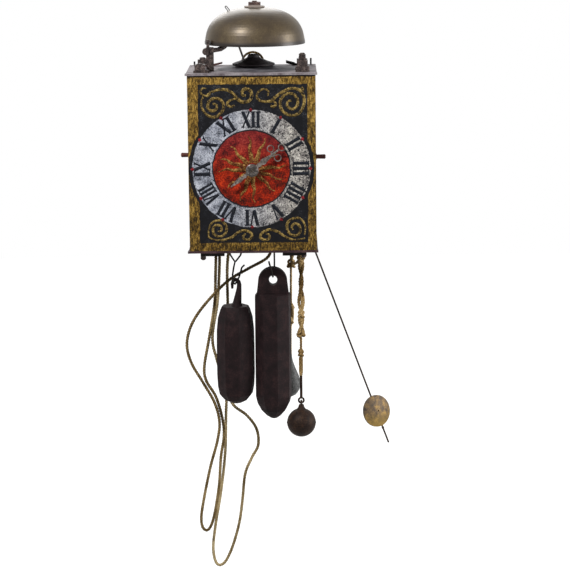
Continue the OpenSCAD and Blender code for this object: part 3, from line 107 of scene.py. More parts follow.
def add(tree, kind, sockets=None, **settings):
    """Adds one node with its settings and links."""
    made = tree.nodes.new(kind)
    for name, value in settings.items():
        setattr(made, name, value)
    plug(tree, made, sockets or {})
    return made


def shade(ramp, *stops):
    """Gives a colour ramp its stops, each a position and a hex colour."""
    elements = ramp.color_ramp.elements
    while len(elements) < len(stops):
        elements.new(0.5)
    for element, (position, colour) in zip(elements, stops):
        element.position, element.color = position, tint(colour)
    return ramp


def per_mm(size):
    """The scale of a noise whose grains are about that many millimetres wide."""
    return 1000 / size


def blank(name):
    """A new node material: its tree, its shader, and the piece's own coordinates in metres."""
    material = bpy.data.materials.new(name)
    material.use_nodes = True
    tree = material.node_tree
    return material, tree, tree.nodes["Principled BSDF"], add(tree, "ShaderNodeTexCoord").outputs["Object"]


def dress(tree, shader, colour, rough, shine, height, depth, strength, metallic=0.0):
    """Gives a shader its colour and gloss, and a bumpy relief that is depth millimetres deep."""
    bump = add(tree, "ShaderNodeBump", {"Height": height, "Distance": depth / 1000, "Strength": strength})
    plug(tree, shader, {"Base Color": colour, "Roughness": rough, "Specular IOR Level": shine,
                        "Metallic": metallic, "Normal": bump.outputs[0]})


# %% [markdown]
# ## Hemp
# The ropes are laid hemp: fibres spun into strands, and three strands twisted together. The light ends of
# the fibres and the dirt between them give short pale and dark streaks a few tenths of a millimetre wide.
# Such grain is too fine for this picture, so it is drawn about one millimetre wide. Hemp is quite matt, so
# it hardly mirrors.
# %% Hemp material
def hemp(name, dark, middle, pale):
    material, tree, shader, spot = blank(name)
    dirt = add(tree, "ShaderNodeTexNoise", {"Vector": spot, "Scale": per_mm(38), "Detail": 4})
    fibre = add(tree, "ShaderNodeTexNoise", {"Vector": spot, "Scale": per_mm(0.9), "Detail": 3})
    both = add(tree, "ShaderNodeMath", {0: dirt, 1: fibre}, operation="ADD")
    mean = add(tree, "ShaderNodeMath", {0: both, 1: 0.5}, operation="MULTIPLY")
    ramp = shade(add(tree, "ShaderNodeValToRGB", {"Fac": mean}), (0.4, dark), (0.5, middle), (0.6, pale))
    dress(tree, shader, ramp, 0.9, 0.08, fibre, depth=0.2, strength=0.6)
    return material


faded_hemp = hemp("faded_laid_hemp", "4c3d25", "8f7c58", "c9b68e")
brown_hemp = hemp("dark_laid_hemp", "352918", "6f5b3a", "a89268")
tan_hemp = hemp("tan_laid_hemp", "4c371b", "94784c", "cbb183")
print("hemp:", faded_hemp.name, brown_hemp.name, tan_hemp.name)


# %% [markdown]
# ## How a line becomes a rope
# A rope could be a smooth tube with a spiral drawn on it, but its outline would stay smooth, and a rope is
# known by its bumpy edge. So Geometry Nodes copy the rope's line once for each strand and wind each copy
# round it: every point steps aside along the line's normal, turned by an angle that grows with the length.
# Each wound line then gets a round section. The same tree lays every rope and cord here.
# %% Helpers for trees
def new_tree(name, **inputs):
    """A Geometry Nodes tree with named inputs, each a float, a whole number, a vector or a material."""
    tree = bpy.data.node_groups.new(name, "GeometryNodeTree")
    tree.interface.new_socket("Geometry", in_out="INPUT", socket_type="NodeSocketGeometry")
    for label, value in inputs.items():
        kind = {float: "Float", int: "Int", tuple: "Vector", str: "Material"}[type(value)]
        socket = tree.interface.new_socket(label, in_out="INPUT", socket_type="NodeSocket" + kind)
        if kind != "Material":
            socket.default_value = value
    tree.interface.new_socket("Geometry", in_out="OUTPUT", socket_type="NodeSocketGeometry")
    return tree, add(tree, "NodeGroupInput").outputs


def close_tree(tree, geometry, material, smooth=True):
    """Ends a tree as the export needs it: real geometry, with its material."""
    if smooth:
        geometry = add(tree, "GeometryNodeSetShadeSmooth", {"Geometry": geometry}).outputs[0]
    real = add(tree, "GeometryNodeRealizeInstances", {"Geometry": geometry})
    coloured = add(tree, "GeometryNodeSetMaterial", {"Geometry": real.outputs[0], "Material": material})
    add(tree, "NodeGroupOutput", {0: coloured.outputs[0]})
    return tree


def drawn(runs, widths=None):
    """A mesh of bare edges, one run of points after another, with a width kept at each point."""
    points, edges = [], []
    for run in runs:
        edges += [(len(points) + i, len(points) + i + 1) for i in range(len(run) - 1)]
        points += [tuple(p) for p in run]
    mesh = bpy.data.meshes.new("line")
    mesh.from_pydata(points, edges, [])
    if widths:
        every_width = [width for run in widths for width in run]
        mesh.attributes.new("width", "FLOAT", "POINT").data.foreach_set("value", every_width)
    line = bpy.data.objects.new("line", mesh)
    bpy.context.scene.collection.objects.link(line)
    return line


def grown(name, line, tree, **values):
    """Runs a tree on a line and keeps the result as one plain mesh."""
    modifier = line.modifiers.new("tree", "NODES")
    modifier.node_group = tree
    for item in tree.interface.items_tree:
        if item.in_out == "INPUT" and item.name in values:
            modifier[item.identifier] = values[item.name]
    bpy.context.view_layer.update()
    mesh = bpy.data.meshes.new_from_object(line.evaluated_get(bpy.context.evaluated_depsgraph_get()))
    bpy.data.objects.remove(line)
    mesh.name = name
    piece = bpy.data.objects.new(name, mesh)
    bpy.context.scene.collection.objects.link(piece)
    print(name, "has", len(mesh.polygons), "faces")
    return piece


def smooth_line(points, step=0.0015):
    """A smooth curve through the points, as close points about a step apart."""
    ends = [2 * points[0] - points[1], *points, 2 * points[-1] - points[-2]]
    line = []
    for a, b, c, d in zip(ends, ends[1:], ends[2:], ends[3:]):
        parts = max(2, round((c - b).length / step))
        for i in range(parts):
            t = i / parts
            bent = 2 * b + (c - a) * t + (2 * a - 5 * b + 4 * c - d) * t * t
            line.append(0.5 * (bent + (3 * b - a - 3 * c + d) * t ** 3))
    return line + [points[-1]]


def traced(points, **step):
    """A smooth curve through points in the case's millimetres."""
    return smooth_line([place(*p) for p in points], **step)


def run_length(line):
    return sum((b - a).length for a, b in zip(line, line[1:]))


# %% The tree that lays a rope
def rope_tree():
    """Strands half a radius from the line, each a little thicker than that, so that they press together."""
    tree, given = new_tree("laid_rope", Radius=0.0015, Turn=0.009, Step=0.001, Strands=3, Material="")
    line = add(tree, "GeometryNodeMeshToCurve", {"Mesh": given["Geometry"]})
    fine = add(tree, "GeometryNodeResampleCurve", {"Curve": line, "Length": given["Step"]}, mode="LENGTH")
    copies = add(tree, "GeometryNodeDuplicateElements", {"Geometry": fine, "Amount": given["Strands"]},
                 domain="SPLINE")
    length = add(tree, "GeometryNodeSplineParameter").outputs["Length"]
    number = copies.outputs["Duplicate Index"]
    turns = add(tree, "ShaderNodeMath", {0: length, 1: given["Turn"]}, operation="DIVIDE")
    share = add(tree, "ShaderNodeMath", {0: number, 1: given["Strands"]}, operation="DIVIDE")
    turned = add(tree, "ShaderNodeMath", {0: turns, 1: share}, operation="ADD")
    angle = add(tree, "ShaderNodeMath", {0: turned, 1: math.tau}, operation="MULTIPLY")
    side = add(tree, "GeometryNodeInputNormal")
    onward = add(tree, "GeometryNodeInputTangent")
    aside = add(tree, "ShaderNodeVectorRotate", {"Vector": side, "Axis": onward, "Angle": angle})
    away = add(tree, "ShaderNodeMath", {0: given["Radius"], 1: 0.5}, operation="MULTIPLY")
    offset = add(tree, "ShaderNodeVectorMath", {0: aside, "Scale": away}, operation="SCALE")
    wound = add(tree, "GeometryNodeSetPosition", {"Geometry": copies, "Offset": offset})
    thick = add(tree, "ShaderNodeMath", {0: given["Radius"], 1: 0.53}, operation="MULTIPLY")
    section = add(tree, "GeometryNodeCurvePrimitiveCircle", {"Resolution": 6, "Radius": thick})
    strand = add(tree, "GeometryNodeCurveToMesh",
                 {"Curve": wound, "Profile Curve": section, "Fill Caps": True})
    return close_tree(tree, strand, given["Material"])


laid_rope = rope_tree()
print("nodes in the rope tree:", len(laid_rope.nodes))

# %% [markdown]
# ## The two driving ropes
# Each rope is about a metre long. One end is parked with a knot over its hole in the bottom plate, the long
# slack falls in curves and loops under the clock, and the other end goes back up over a pulley inside and
# down to its ball or lead. The slack could be simulated, but the photograph shows how it fell, so its line
# passes through points traced there, at depths that keep the crossings apart. The rope frees itself where
# it leaves the case.
# %% The slack below the case
going_points = [
    (22, 42, -218), (16, 43, -232), (-8, 45, -246), (-33, 45, -261), (-60, 44, -288), (-78, 44, -314),
    (-85, 44, -340), (-80, 44, -364), (-66, 43, -389), (-52, 43, -415), (-46, 43, -440), (-49, 44, -465),
    (-58, 46, -498), (-66, 48, -535), (-71, 48, -565), (-69, 48, -580), (-62, 48, -582), (-55, 48, -565),
    (-48, 48, -525), (-45, 48, -487), (-41, 48, -462), (-42, 49, -440), (-50, 50, -410), (-62, 51, -389),
    (-64, 51, -370), (-57, 52, -332), (-50, 52, -290), (-48, 46, -250), (-47, 37, -230), (-47, 34, -218)]
strike_points = [
    (-31, 62, -218), (-34, 62, -250), (-34, 62, -300), (-35, 62, -370), (-38, 61, -430), (-40, 60, -485),
    (-46, 60, -535), (-54, 60, -582), (-57, 60, -612), (-53, 60, -631), (-44, 60, -631), (-34, 60, -613),
    (-24, 60, -580), (-19, 60, -548), (-15, 60, -513), (-6, 60, -491), (2, 60, -475), (0, 60, -454),
    (-12, 62, -437), (-29, 66, -424), (-38, 68, -402), (-49, 69, -366), (-54, 68, -337), (-47, 67, -292),
    (-44, 71, -250), (-44, 80, -230), (-45, 84.5, -218)]
for name, points, material in (("going_slack", going_points, brown_hemp),
                               ("strike_slack", strike_points, faded_hemp)):
    path = traced(points)
    slack = grown(name, drawn([path]), laid_rope, Radius=0.002, Turn=0.0105, Step=0.0011, Material=material)
    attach(slack, "case")
    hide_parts(name.replace("slack", "rope"))
    print(name, "is", round(run_length(path), 3), "m long")


# %% [markdown]
# ## Knots, and the ropes inside the case
# A stopper knot is an overhand knot: the rope makes one round turn and passes through it. Its line is close
# to the curve that is called a trefoil, with both ends led out, so a few sines draw every knot on the clock.
# Inside the case each rope goes over its spiked pulley, which only shows through an open door.
# %% Knots and inner runs
plate_low, plate_high = -218, -215.5  # the two faces of the bottom plate
pulley_height, pulley_radius = -162, 22.5
knot_step = 0.0007  # metres between the points of a knot's line


def knot_line(low, high, size, turn=0.0):
    """The line of an overhand knot between two points, its turns about size wide."""
    middle, axis = (low + high) / 2, (high - low).normalized()
    side = axis.cross(Vector((math.sin(turn), math.cos(turn), 0))).normalized()
    front = axis.cross(side)
    steps, first, share = 14, 0.09, 0.82  # the part of the trefoil's round that the rope takes
    line = [low]
    for i in range(steps + 1):
        t = math.tau * (first + share * i / steps)
        across = math.sin(t) + 2 * math.sin(2 * t)
        along = math.cos(t) - 2 * math.cos(2 * t)
        line.append(middle + size / 6 * (side * across - axis * along * 0.9 + front * -1.3 * math.sin(3 * t)))
    return line + [high]


def over_pulley(start_x, end_x, depth):
    """The arc of a rope over its pulley, from one hole in the bottom plate to the other."""
    a, b = complex(start_x, plate_low - pulley_height), complex(end_x, plate_low - pulley_height)
    first = math.atan2(a.imag, a.real) + math.tau - math.acos(pulley_radius / abs(a))
    last = math.atan2(b.imag, b.real) + math.acos(pulley_radius / abs(b))
    turns = [first + (last - first) * i / 16 for i in range(17)]
    return [(pulley_radius * math.cos(t), depth, pulley_height + pulley_radius * math.sin(t)) for t in turns]


for name, depth, parked, start, end, material in (
        ("going", 26, (22, 42), (-47, 34), (58, 34), brown_hemp),
        ("strike", 84.5, (-31, 62), (-45, 84.5), (46, 84.5), faded_hemp)):
    inside = traced([(*start, plate_low), (*start, plate_high + 1), *over_pulley(start[0], end[0], depth),
                     (*end, plate_high + 1), (*end, plate_low)])
    knotted = knot_line(place(*parked, plate_high + 1), place(*parked, -207), 0.0075)
    stopper = smooth_line([place(*parked, plate_low), *knotted, place(*parked, -204)], knot_step)
    rest = grown(name + "_rope_inside", drawn([inside, stopper]), laid_rope, Radius=0.00145, Turn=0.0095,
                 Step=0.0011, Material=material)
    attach(rest, "case")
    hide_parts(name + "_rope")

# %% [markdown]
# ## The ropes of the ball and of the lead
# The ball's rope was too long, so its owner shortened it: it runs up and down three times, loosely twisted
# and knotted at both ends, and its last end is wrapped to an iron link. A loose twist is a rule too: two
# parts turn round a third, further from it at some heights than at others. Wrapping is a helix round the
# rope. All of it goes through the same rope tree.
# %% Twist, knots and wrapping
def sway(z, height, length, shift=0.0):
    """How far a wave along the rope has gone aside."""
    return height * math.sin(z / length + shift)


def twisted(x_at, y, high, low, wide, turn):
    """A loose twist between two heights in mm: two parts turn round a nearly straight third."""
    lines = [[place(x_at(z) + sway(z, 1.3, 4.7), y + math.cos(z / 5.9), z) for z in range(low, high)]]
    step = 1.2
    for part in range(2):
        line = []
        for i in range(int((high - low) / step) + 1):
            z = high - step * i
            a = math.tau * ((high - z) / turn + part / 2) + sway(z, 0.4, 9)
            loose = wide * (1.08 + sway(z, 0.3, 7.5, 1.2))
            x = x_at(z) + loose * math.sin(a) + sway(z, 0.5, 6, 3 * part)
            line.append(place(x, y + loose * math.cos(a), z))
        lines.append(line)
    return lines


def wrapping(x, y, high, low, radius, turn, sides=14):
    """A helix round a rope, from high to low, with that many points to a turn."""
    steps = int((high - low) / turn * sides)
    return [place(x + radius * math.cos(math.tau * i / sides), y + radius * math.sin(math.tau * i / sides),
                  high + (low - high) * i / steps) for i in range(steps + 1)]


def knot(x, y, high, low, size, turn=0.0):
    """A knot between two heights, as close points."""
    return smooth_line(knot_line(place(x, y, low), place(x, y, high), size / 1000, turn), knot_step)


def ball_x(z):
    """The ball's rope hangs straight from its knot and then leans a little to the left."""
    return 58 - max(0, -231 - z) / 125


ball_twist = grown("ball_rope_twisted", drawn(twisted(ball_x, 34, -226, -328, 2.1, 46)), laid_rope,
                   Radius=0.002, Turn=0.011, Step=0.0012, Material=tan_hemp)
# a loose end of the same rope hangs in a short loop towards the lead's rope
loose_end = [(57, 36, -231), (54.6, 38, -226), (51.6, 40, -224.6), (48.4, 41, -228), (46.8, 42, -234),
             (48.6, 41, -239), (52, 39, -238), (55.4, 37, -233.5)]
link_turn = [(56.8, 33, -375), (55.8, 31.6, -377), (56.8, 34, -379.2), (57.4, 36, -377), (56.8, 35, -373)]
ball_runs = [
    knot(57.2, 34, -320, -333, 9.5), knot(57.6, 34.6, -297, -307, 10, 0.9),
    knot(57.8, 34, -223, -234, 10, 0.5),
    [place(58, 34, -218.6), place(58, 34, -222), place(57.9, 34, -229)],
    [place(57.1, 34, -331), place(56.9, 34, -352), place(56.8, 34, -375)],
    traced(link_turn, step=knot_step), knot(56.8, 34, -346, -356, 9, 1.2), traced(loose_end)]
ball_cord = grown("ball_rope_knotted", drawn(ball_runs), laid_rope,
                  Radius=0.0017, Turn=0.009, Step=0.0011, Material=tan_hemp)
whipping = grown("ball_rope_wrapping", drawn([wrapping(56.8, 34, -356, -375.5, 2.1, 1.5)]), laid_rope,
                 Radius=0.0008, Turn=0.004, Step=0.0008, Strands=2, Material=tan_hemp)
for piece in (ball_twist, ball_cord, whipping):
    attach(piece, "ball")
    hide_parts("ball_rope")

lead_line = [(46, 84.5, -218.6), (45.5, 84.5, -245), (44.6, 84.5, -318), (44.1, 84.5, -334), (44, 84.5, -366)]
lead_bight = [(45.2, 83, -297), (46.8, 82.4, -303), (47.4, 83, -310), (46.9, 85, -318), (45.4, 85.6, -325)]
lead_runs = [
    traced(lead_line), knot(45.6, 84.5, -241, -254, 12, 0.7), knot(44.8, 84.5, -297, -307, 7.5),
    knot(44.6, 84.5, -315, -325, 8, 0.8), traced(lead_bight)]
lead_cord = grown("lead_rope_knotted", drawn(lead_runs), laid_rope,
                  Radius=0.0016, Turn=0.009, Step=0.0011, Material=tan_hemp)
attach(lead_cord, "lead")
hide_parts("lead_rope")


# %% [markdown]
# ## Old iron and brass
# Most of the clock is wrought iron that was forged, filed, and left to darken for centuries. What the eye
# gets is a base tone, broad clouds of a darker and a lighter one where oil and hands went, fine pits, and a
# roughness that changes with them. One function makes all of these from three tones and a few sizes, so
# each metal is one call. Rust covers the metal like paint, so the rustier a piece is, the less metallic it
# is set and the less it mirrors.
# %% Aged metals
finished = {}


def finish(nodes, name, tones, cloud, pit, metallic, rough, depth, fine=0.4, shine=0.5):
    """Puts a metal on nodes: tones from dark to light, clouds and pits of those sizes and a depth in mm."""
    material, tree, shader, spot = blank(name)
    clouds = add(tree, "ShaderNodeTexNoise",
                 {"Vector": spot, "Scale": per_mm(cloud), "Detail": 5, "Roughness": 0.6})
    pits = add(tree, "ShaderNodeTexNoise",
               {"Vector": spot, "Scale": per_mm(pit), "Detail": 4, "Roughness": 0.7})
    mixed = add(tree, "ShaderNodeMix", {"Factor": fine, "A": clouds, "B": pits})
    ramp = shade(add(tree, "ShaderNodeValToRGB", {"Fac": mixed}), *zip((0.37, 0.5, 0.63), tones.split()))
    gloss = add(tree, "ShaderNodeMapRange",
                {"Value": pits, "From Min": 0.3, "From Max": 0.7, "To Min": rough[0], "To Max": rough[1]})
    dress(tree, shader, ramp, gloss, shine, mixed, depth, strength=0.8, metallic=metallic)
    for node in nodes.split():
        finished[node] = material
        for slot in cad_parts[node].material_slots:
            slot.material = material
    return material


def blend_along(material, axis, start, end, hex_colour):
    """Changes a finish to another colour along x (0), y (1) or z (2), between two places in mm."""
    tree = material.node_tree
    shader, spot = tree.nodes["Principled BSDF"], add(tree, "ShaderNodeTexCoord").outputs["Object"]
    before = shader.inputs["Base Color"].links[0].from_socket
    along = add(tree, "ShaderNodeSeparateXYZ", {0: spot}).outputs[axis]
    low, high = [place(limit, limit, limit)[axis] for limit in (start, end)]
    mask = add(tree, "ShaderNodeMapRange", {"Value": along, "From Min": low, "From Max": high})
    mixed = add(tree, "ShaderNodeMix", {"Factor": mask, 6: before, 7: tint(hex_colour)}, data_type="RGBA")
    plug(tree, shader, {"Base Color": mixed.outputs[2]})


finish("top_plate", "worn_sheet_iron", "4e4447 7a7275 9c9698", 14, 1.6, 0.1, (0.65, 0.85), 0.25, shine=0.2)
finish("bottom_plate", "purple_brown_iron", "1d1416 3a292d 57423f", 16, 1.5, 0.1, (0.6, 0.8), 0.3, shine=0.15)
post_iron = finish("corner_posts post_nuts bell_stand", "forged_post_iron",
                   "120d0c 2f2624 786862", 6, 1.3, 0.2, (0.5, 0.75), 0.45, 0.6, 0.3)
finish("wall_spurs under_straps hinge_pins dial_pins left_hook right_hook hammer_spring", "blackened_iron",
       "080606 15110f 2b2421", 9, 1.0, 0.0, (0.6, 0.8), 0.3, shine=0.15)
finish("pendulum_rod", "brown_drawn_wire", "1c1613 332a24 4d4037", 6, 0.8, 0.0, (0.6, 0.8), 0.15, shine=0.15)
tongue_iron = finish("rear_straps", "rusty_tongue_iron",
                     "1c0c0b 3c1b1a 5a302a", 8, 1.0, 0.0, (0.65, 0.85), 0.3, shine=0.15)
finish("back_plate verge_cock", "brown_back_iron",
       "211b19 3d3531 584b43", 24, 1.6, 0.2, (0.55, 0.8), 0.3, shine=0.3)
finish("front_bar middle_bar rear_bar potence going_click verge strike_click fly_pinion hammer hammer_head "
       "lifting_lever locking_lever", "filed_train_iron",
       "2a2625 46403c 6e665e", 10, 1.2, 0.8, (0.35, 0.5), 0.15)
finish("hour_hand", "polished_hand_steel", "2c2724 5f5752 938c85", 3, 0.8, 0.6, (0.35, 0.5), 0.1)
finish("hand_boss", "dark_boss_steel", "191514 3a3431 7a736e", 4, 0.8, 0.5, (0.3, 0.45), 0.12)
finish("going_great_wheel contrate_wheel crown_wheel strike_great_wheel hoop_wheel fly count_wheel",
       "dull_train_brass", "5a482b 7f6a42 a08a58", 12, 1.2, 0.85, (0.35, 0.5), 0.1)
finish("hour_wheel", "dark_hour_brass", "211a12 3b3020 5d4f35", 6, 1.0, 0.6, (0.4, 0.55), 0.1)
finish("dust_plate", "dusty_bare_steel", "3a383c 58565a 747276", 14, 1.2, 0.2, (0.65, 0.8), 0.15, shine=0.2)
finish("cap", "black_turned_iron", "141112 2a2527 4a4446", 10, 1.0, 0.2, (0.5, 0.7), 0.15, shine=0.25)
nut_iron = finish("bell_nut", "brown_nut_iron",
                  "1f1413 46332f 7d675f", 3, 0.9, 0.15, (0.6, 0.8), 0.3, 0.5, 0.3)
finish("bell_staple", "grey_wire_iron", "2a2725 47423f 6b6560", 4, 0.8, 0.3, (0.5, 0.7), 0.15)
finish("hanging_eye", "worn_gilt_ring", "38290f 71582a a4823f", 6, 0.9, 0.4, (0.45, 0.65), 0.15, shine=0.3)
finish("left_weight right_weight", "rusty_forged_weight",
       "0b0606 1a1012 2f2020", 12, 1.4, 0.0, (0.6, 0.85), 0.5, 0.5, 0.12)
finish("iron_ball ball_link", "rusty_cast_ball",
       "0d0706 20140f 3b2a1f", 9, 1.2, 0.0, (0.5, 0.7), 0.45, 0.5, 0.12)
finish("lead_drop", "dull_cast_lead", "242424 434342 6f7070", 6, 1.2, 0.2, (0.45, 0.65), 0.3, 0.55, 0.3)
finish("left_door right_door", "red_brown_door_paint",
       "2a1412 46241f 64372b", 20, 1.4, 0.0, (0.5, 0.7), 0.2, shine=0.2)
bell_bronze = finish("bell", "cast_bell_bronze", "33281a 413523 53462f", 26, 1.4, 0.4, (0.36, 0.44), 0.08)
bob_brass = finish("pendulum_bob", "patinated_bob_brass",
                   "1f170f 544128 866a33", 6, 1.0, 0.4, (0.45, 0.6), 0.15, shine=0.4)
finish("going_pulley strike_pulley", "dark_turned_wood", "332b25 5a5048 75685a", 5, 1.0, 0.0, (0.5, 0.7), 0.2)

blend_along(bell_bronze, 2, 37, 34, "1d1610")
blend_along(nut_iron, 2, 78.2, 77.4, "8a7f77")
blend_along(tongue_iron, 0, -10, 10, "120d0c")
blend_along(bob_brass, 2, -450, -485, "94782f")
print(len(set(finished.values())), "finishes on", len(finished), "nodes")

# %% [markdown]
# ## The painted dial
# The plate is iron under oil paint: a gold border, a black ground, a silvered hour ring, and a red middle.
# It could be a picture on a flat face, but the pattern is a few circles and a rectangle, so masks in the
# material draw it at any size. A little noise bends every edge, because a brush doesn't follow a compass,
# and clouds of a second tone and specks of bare ground make each colour as worn as it is.
# The paint is also darker towards the bottom: painted shade, where the light falls off.
# %% Dial paint
dial_middle = (-1.0, -115.2)  # the painter's circles are a little off the middle of the arbor, in mm


def dial_paint():
    material, tree, shader, spot = blank("worn_dial_paint")
    bends = add(tree, "ShaderNodeTexNoise", {"Vector": spot, "Scale": per_mm(7), "Detail": 2})
    centred = add(tree, "ShaderNodeVectorMath", {0: bends.outputs["Color"], 1: (0.5, 0.5, 0.5)},
                  operation="SUBTRACT")
    wobble = add(tree, "ShaderNodeVectorMath", {0: centred, "Scale": 0.0022}, operation="SCALE")
    bent_spot = add(tree, "ShaderNodeVectorMath", {0: spot, 1: wobble}, operation="ADD")
    # from the middle of the dial, with the depth taken out
    flat = add(tree, "ShaderNodeVectorMath", {0: bent_spot, 1: (1, 0, 1)}, operation="MULTIPLY")
    middle = place(dial_middle[0], ring_depth, dial_middle[1])
    around = add(tree, "ShaderNodeVectorMath", {0: flat, 1: middle}, operation="DISTANCE")
    across, _, up = add(tree, "ShaderNodeSeparateXYZ", {0: bent_spot}).outputs

    clouds = add(tree, "ShaderNodeTexNoise",
                 {"Vector": spot, "Scale": per_mm(9), "Detail": 6, "Roughness": 0.65})
    grit = add(tree, "ShaderNodeTexNoise",
               {"Vector": spot, "Scale": per_mm(1.7), "Detail": 4, "Roughness": 0.75})
    plain = add(tree, "ShaderNodeMix", {"Factor": 0.55, "A": clouds, "B": grit})
    # painted shade: the paint is darker towards the bottom and a little lighter at the top, as the light falls
    # off downwards
    darker = add(tree, "ShaderNodeMapRange", {"Value": up, "From Min": place(0, 0, -218).z,
                                              "From Max": place(0, 0, -40).z, "To Min": -0.03, "To Max": 0.015})
    # worn is the wear clouds with this painted shade added, so every paint colour below carries the painted
    # shade
    worn = add(tree, "ShaderNodeMath", {0: plain, 1: darker}, operation="ADD")
    # the gold was brushed on upright, so its wear runs in short upright streaks
    upright = add(tree, "ShaderNodeVectorMath", {0: spot, 1: (1.0, 1.0, 0.3)}, operation="MULTIPLY")
    streaks = add(tree, "ShaderNodeTexNoise",
                  {"Vector": upright, "Scale": per_mm(1.6), "Detail": 4, "Roughness": 0.7})
    streaked = add(tree, "ShaderNodeMix", {"Factor": 0.5, "A": worn, "B": streaks})

    def paint(*stops, wear=worn):
        """Oil paint that follows its wear through stops."""
        return shade(add(tree, "ShaderNodeValToRGB", {"Fac": wear}), *stops).outputs[0]

    black = paint((0.4, "08080a"), (0.52, "111115"), (0.6, "26272b"), (0.66, "55565a"))
    gold = paint((0.42, "17110a"), (0.47, "483615"), (0.52, "755a26"), (0.585, "b08e46"), wear=streaked)
    blue_silver = paint((0.4, "23262e"), (0.45, "63666f"), (0.51, "8f939e"), (0.59, "c2c5ce"))
    warm_silver = paint((0.4, "221f20"), (0.45, "6f6a67"), (0.51, "a09b95"), (0.585, "d6d1c7"))
    red = paint((0.39, "1f0603"), (0.46, "561408"), (0.53, "93200b"), (0.61, "c83d17"))
    crimson = paint((0.39, "24080a"), (0.46, "541517"), (0.53, "7e2221"), (0.62, "a04438"))

    def inside(radius, edge=0.17):
        """1 inside a circle of that many mm, with an edge of a third of a millimetre."""
        return add(tree, "ShaderNodeMapRange",
                   {"Value": around.outputs["Value"], "From Min": (radius - edge) / 1000,
                    "From Max": (radius + edge) / 1000, "To Min": 1.0, "To Max": 0.0})

    def beyond(value, limit, sign, edge=0.0002):
        """1 where a coordinate is past a limit in metres, towards sign."""
        return add(tree, "ShaderNodeMapRange",
                   {"Value": value, "From Min": limit - sign * edge, "From Max": limit + sign * edge})

    def over(under, colour, mask):
        """A colour laid over another one where the mask is 1."""
        return add(tree, "ShaderNodeMix", {"Factor": mask, 6: under, 7: colour}, data_type="RGBA").outputs[2]

    # the border is what lies outside a rectangle
    border = beyond(across, place(-64.3, 0, 0).x, -1)
    for mask in (beyond(across, place(66.9, 0, 0).x, 1), beyond(up, place(0, 0, -13.2).z, 1),
                 beyond(up, place(0, 0, -205.3).z, -1)):
        border = add(tree, "ShaderNodeMath", {0: border, 1: mask}, operation="MAXIMUM")
    colour = over(black, gold, border)
    # a thin dark line runs along the top of the dial, just under the top plate
    colour = over(colour, tint("1c150d"), beyond(up, place(0, 0, -4.6).z, 1))
    upper = add(tree, "ShaderNodeMapRange", {"Value": up, "From Min": place(0, 0, -118).z,
                                             "From Max": place(0, 0, -82).z})
    reds = over(red, crimson, upper)
    rightward = add(tree, "ShaderNodeMapRange", {"Value": across, "From Min": place(-30, 0, 0).x,
                                                 "From Max": place(45, 0, 0).x})
    silver = over(blue_silver, warm_silver, rightward)
    # flakes of the silver are gone, most of all on the right
    chips = add(tree, "ShaderNodeTexNoise", {"Vector": spot, "Scale": per_mm(2.4), "Detail": 2})
    flaked = add(tree, "ShaderNodeMapRange", {"Value": rightward, "To Min": 0.67, "To Max": 0.585})
    missing = add(tree, "ShaderNodeMath", {0: chips, 1: flaked}, operation="GREATER_THAN")
    silver = over(silver, tint("15151b"), missing)
    for radius, layer in ((75.8, black), (71.4, silver), (47.6, tint("17171b")), (45.9, reds)):
        colour = over(colour, layer, inside(radius))
    # only the face is painted, and edges and back are bare iron
    front = beyond(add(tree, "ShaderNodeSeparateXYZ", {0: spot}).outputs[1], place(0, 0.3, 0).y, -1)
    colour = over(tint("3b302c"), colour, front)
    gloss = add(tree, "ShaderNodeMapRange",
                {"Value": grit, "From Min": 0.3, "From Max": 0.7, "To Min": 0.6, "To Max": 0.8})
    dress(tree, shader, colour, gloss, 0.12, worn, depth=0.3, strength=0.5)
    return material


painted_dial = dial_paint()
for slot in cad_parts["dial_plate"].material_slots:
    slot.material = painted_dial
print("dial paint has", len(painted_dial.node_tree.nodes), "nodes")


# %% [markdown]
# ## Brush strokes
# Numerals, scrolls and the rays of the sun are single strokes of a brush on the flat paint. Each could be a
# mask as well, but a stroke is easier to draw as a line with a width. A tree runs a thin flat section along
# each line, and a little noise on the width gives it the uneven edge of a hand-held brush. The strokes are
# closed, and up to a tenth of a millimetre proud.
# %% The brush
stand_up = (math.pi / 2, 0, 0)  # turns what is drawn flat so that it faces the front
dial_face = place(0, 0, 0).y


def paint_of(name, dark, middle, pale, under):
    """Oil paint that is worn through in places to the colour under it."""
    material, tree, shader, spot = blank(name)
    clouds = add(tree, "ShaderNodeTexNoise",
                 {"Vector": spot, "Scale": per_mm(6), "Detail": 5, "Roughness": 0.65})
    grit = add(tree, "ShaderNodeTexNoise",
               {"Vector": spot, "Scale": per_mm(1.5), "Detail": 4, "Roughness": 0.7})
    worn = add(tree, "ShaderNodeMix", {"Factor": 0.55, "A": clouds, "B": grit})
    ramp = shade(add(tree, "ShaderNodeValToRGB", {"Fac": worn}),
                 (0.4, under), (0.46, dark), (0.52, middle), (0.61, pale))
    dress(tree, shader, ramp, 0.7, 0.12, worn, depth=0.3, strength=0.5)
    return material


def brushed(tree, curve, thin, width, given):
    """Ends a tree with strokes of that width along a curve, that much thinner, standing on the dial."""
    section = add(tree, "GeometryNodeCurvePrimitiveQuadrilateral", {"Width": 1.0, "Height": thin})
    depth = add(tree, "ShaderNodeCombineXYZ", {1: given["Depth"]})
    stroke = add(tree, "GeometryNodeCurveToMesh",
                 {"Curve": curve, "Profile Curve": section, "Scale": width, "Fill Caps": True})
    upright = add(tree, "GeometryNodeTransform",
                  {"Geometry": stroke, "Rotation": stand_up, "Translation": depth})
    return close_tree(tree, upright, given["Material"])


